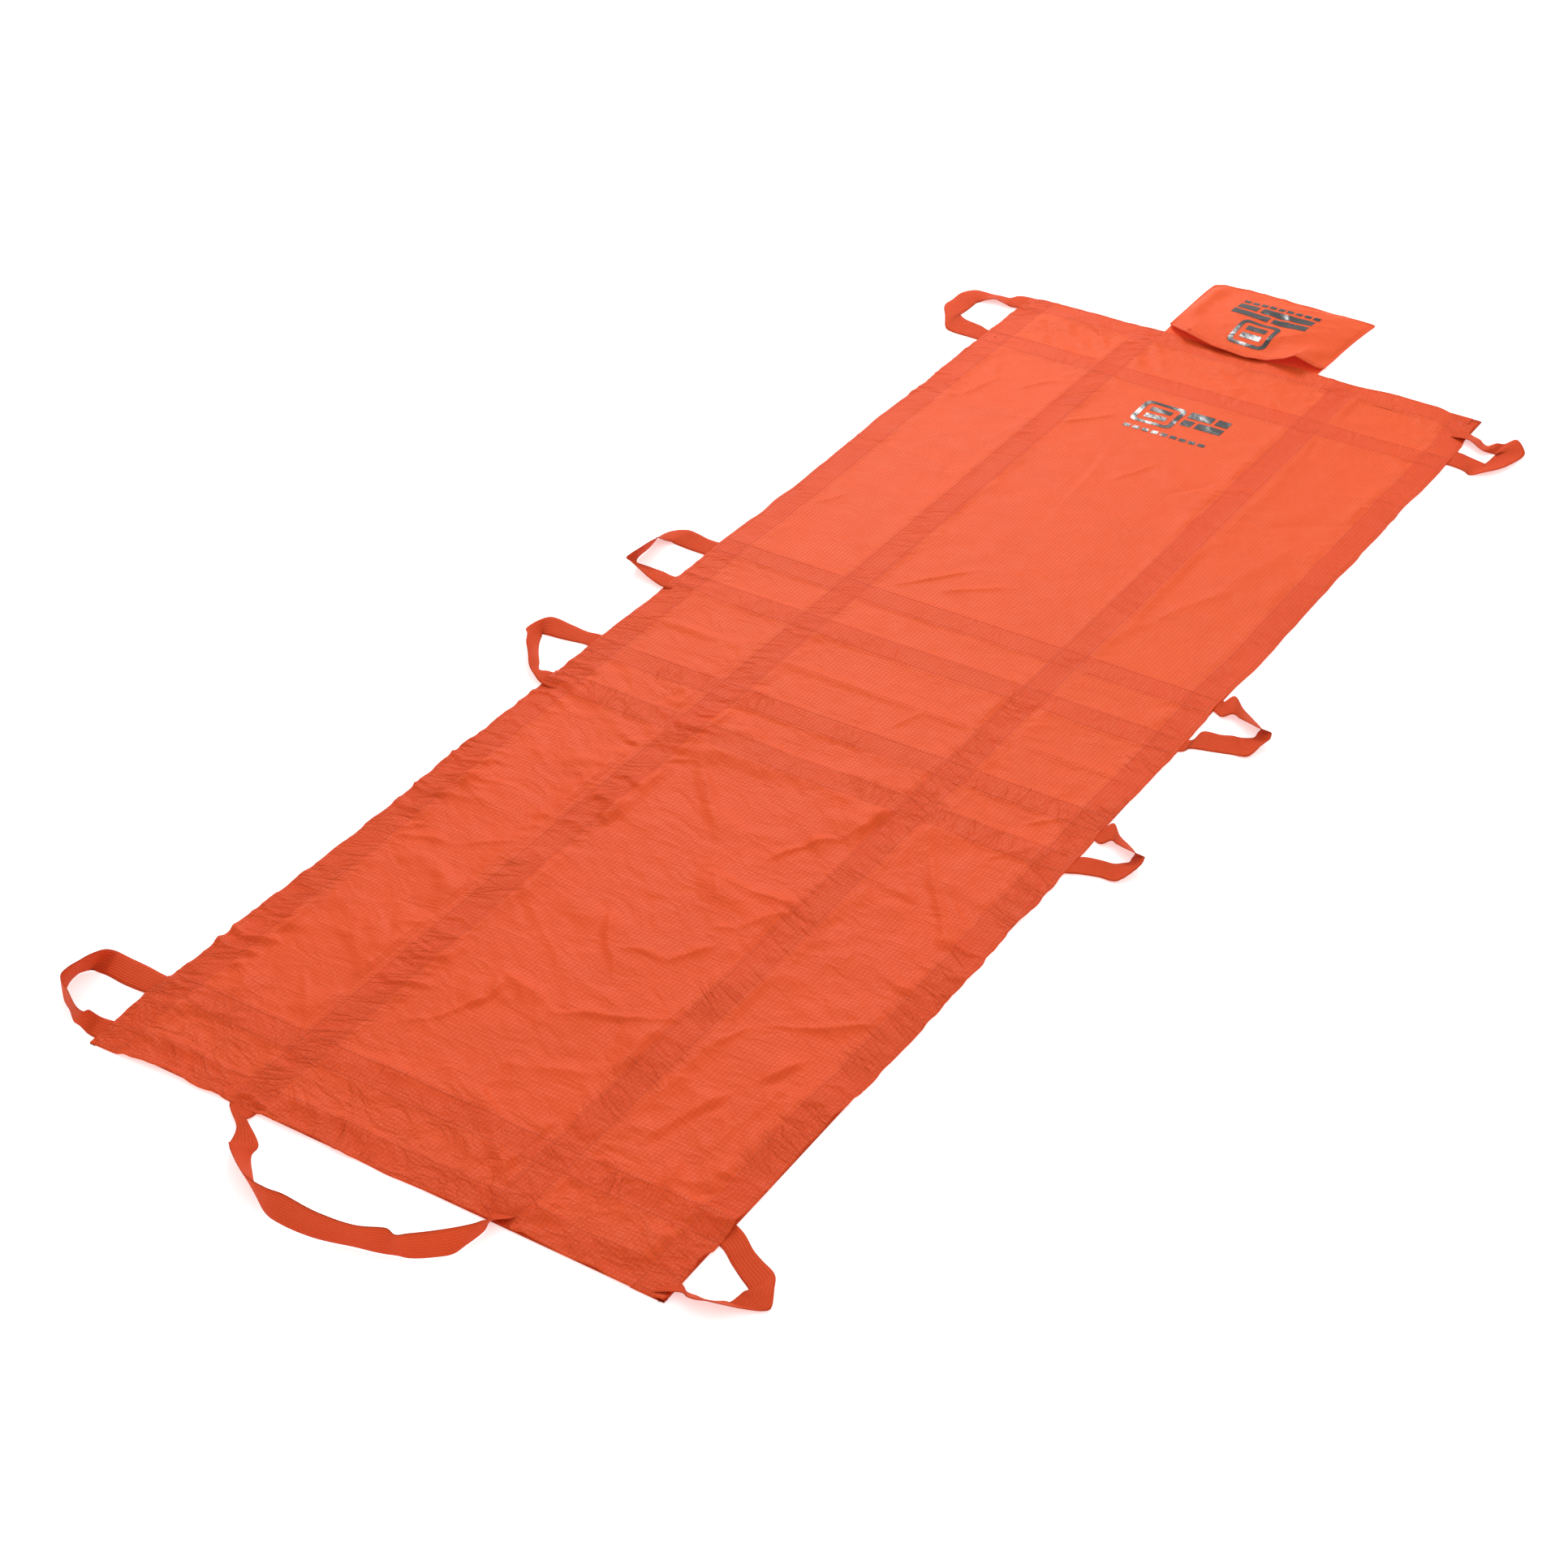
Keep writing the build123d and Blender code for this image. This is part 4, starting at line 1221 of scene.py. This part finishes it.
STITCH_PITCH = 3.8 * MM
STITCH_LENGTH = 2.7 * MM
STITCH_RADIUS = 0.35 * MM
STITCH_LIFT = 0.15 * MM


def thread_mesh(name, a, b):
    """Short raised stitches between matching points."""
    along = unit(b - a)
    side = unit(np.cross(along, [0.0, 0.0, 1.0]))
    up = np.cross(side, along)
    centre = (a + b) / 2
    side, up = side * STITCH_RADIUS, up * STITCH_RADIUS
    points = np.stack([a, centre + side, b, centre - side, centre + up, centre - up], 1)
    above = [[k, (k + 1) % 4, 4] for k in range(4)]
    below = [[(k + 1) % 4, k, 5] for k in range(4)]
    pattern = np.array(above + below)
    faces = (pattern[None] + 6 * np.arange(len(a))[:, None, None]).reshape(-1, 3)
    return mesh_object(name, points, faces, THREAD_MATERIAL, points[..., :2])


def stitch_row(start, end):
    """Start and end positions of the stitches of one straight row."""
    start = np.array(start, float)
    end = np.array(end, float)
    length = np.linalg.norm(end - start)
    along = (end - start) / length
    places = np.arange(STITCH_PITCH / 2, length - STITCH_PITCH / 2, STITCH_PITCH)[:, None]
    return start + along * places, start + along * (places + STITCH_LENGTH)


def box_stitch(x, y, half):
    """The outline of a box stitch that holds a strap's end."""
    corners = [(x - half, y - half), (x + half, y - half), (x + half, y + half), (x - half, y + half)]
    return [stitch_row(corners[i], corners[(i + 1) % 4]) for i in range(4)]


STITCH_OFFSET = WEB_WIDTH / 2 - 3 * MM
for row_name, (y_low, y_high) in ROW_SPANS.items():
    for column_name, (x_low, x_high) in COLUMN_SPANS.items():
        rows = []
        webs = {"left": [-EDGE_X], "centre": [-LONG_X, LONG_X], "right": [EDGE_X]}[column_name]
        for web_x in webs:
            for offset in (-STITCH_OFFSET, STITCH_OFFSET):
                rows.append(stitch_row((web_x + offset, y_low + 2 * MM), (web_x + offset, y_high - 3 * MM)))
        for band in BANDS:
            if ROW_OF_BAND[band] != row_name:
                continue
            for offset in (-STITCH_OFFSET, STITCH_OFFSET):
                y = BAND_Y[band] + offset
                rows.append(stitch_row((x_low + 3 * MM, y), (x_high - 3 * MM, y)))
            if column_name != "centre":
                rows.extend(box_stitch(webs[0], BAND_Y[band], STITCH_OFFSET - 2 * MM))
        if (row_name, column_name) == ("foot", "centre"):
            for web_x in webs:
                rows.extend(box_stitch(web_x, BAND_Y["foot_hem"], STITCH_OFFSET - 3 * MM))
        a, b = (on_sheet(*np.concatenate(ends).T, STITCH_LIFT) for ends in zip(*rows))
        sewing = thread_mesh(f"stitching_{row_name}_{column_name}_thread", a, b)
        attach(sewing, f"{row_name}_{column_name}")
        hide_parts(f"stitching_{row_name}_{column_name}")

mouth_thread = thread_mesh("pouch_mouth_thread", *(np.concatenate(ends) for ends in zip(*MOUTH_SEWING)))
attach(mouth_thread, "pouch")

# ---- camera, floor and light ----

scene = bpy.context.scene
scene.view_settings.view_transform = "Standard"
scene.view_settings.look = "None"

camera_data = bpy.data.cameras.new("camera")
camera_data.lens = 69.6
camera_data.sensor_width = 36
camera = linked("camera", camera_data)
camera.location = (1.503, -2.659, 1.996)
look = Vector((-0.43543, 0.68953, -0.57875))
roll = Matrix.Rotation(math.radians(0.16), 4, "Z")
aim = look.to_track_quat("-Z", "Y").to_matrix().to_4x4()
camera.matrix_world = Matrix.Translation(camera.location) @ aim @ roll
scene.camera = camera

floor = square("floor", 30)
floor_nodes = Nodes("floor")
floor_nodes.shader.inputs["Base Color"].default_value = (0.97, 0.97, 0.97, 1)
floor_nodes.shader.inputs["Roughness"].default_value = 0.9
floor_nodes.shader.inputs["Emission Color"].default_value = (1, 1, 1, 1)
floor_nodes.shader.inputs["Emission Strength"].default_value = 0.45
floor.data.materials.append(floor_nodes.material)

world = bpy.data.worlds.new("studio")
scene.world = world
world.use_nodes = True
world.node_tree.nodes["Background"].inputs["Color"].default_value = (1, 1, 1, 1)
world.node_tree.nodes["Background"].inputs["Strength"].default_value = 0.78


def area_light(name, place, target, size, power):
    data = bpy.data.lights.new(name, "AREA")
    data.shape = "RECTANGLE"
    data.size, data.size_y = size
    data.energy = power
    light = linked(name, data)
    light.location = place
    light.rotation_euler = (Vector(target) - Vector(place)).to_track_quat("-Z", "Y").to_euler()


area_light("key", (-2.2, 3.4, 2.6), (0, 0.1, 0), (1.6, 1.6), 135)
area_light("fill", (2.6, -1.5, 3.0), (0, -0.2, 0), (2.5, 2.5), 18)
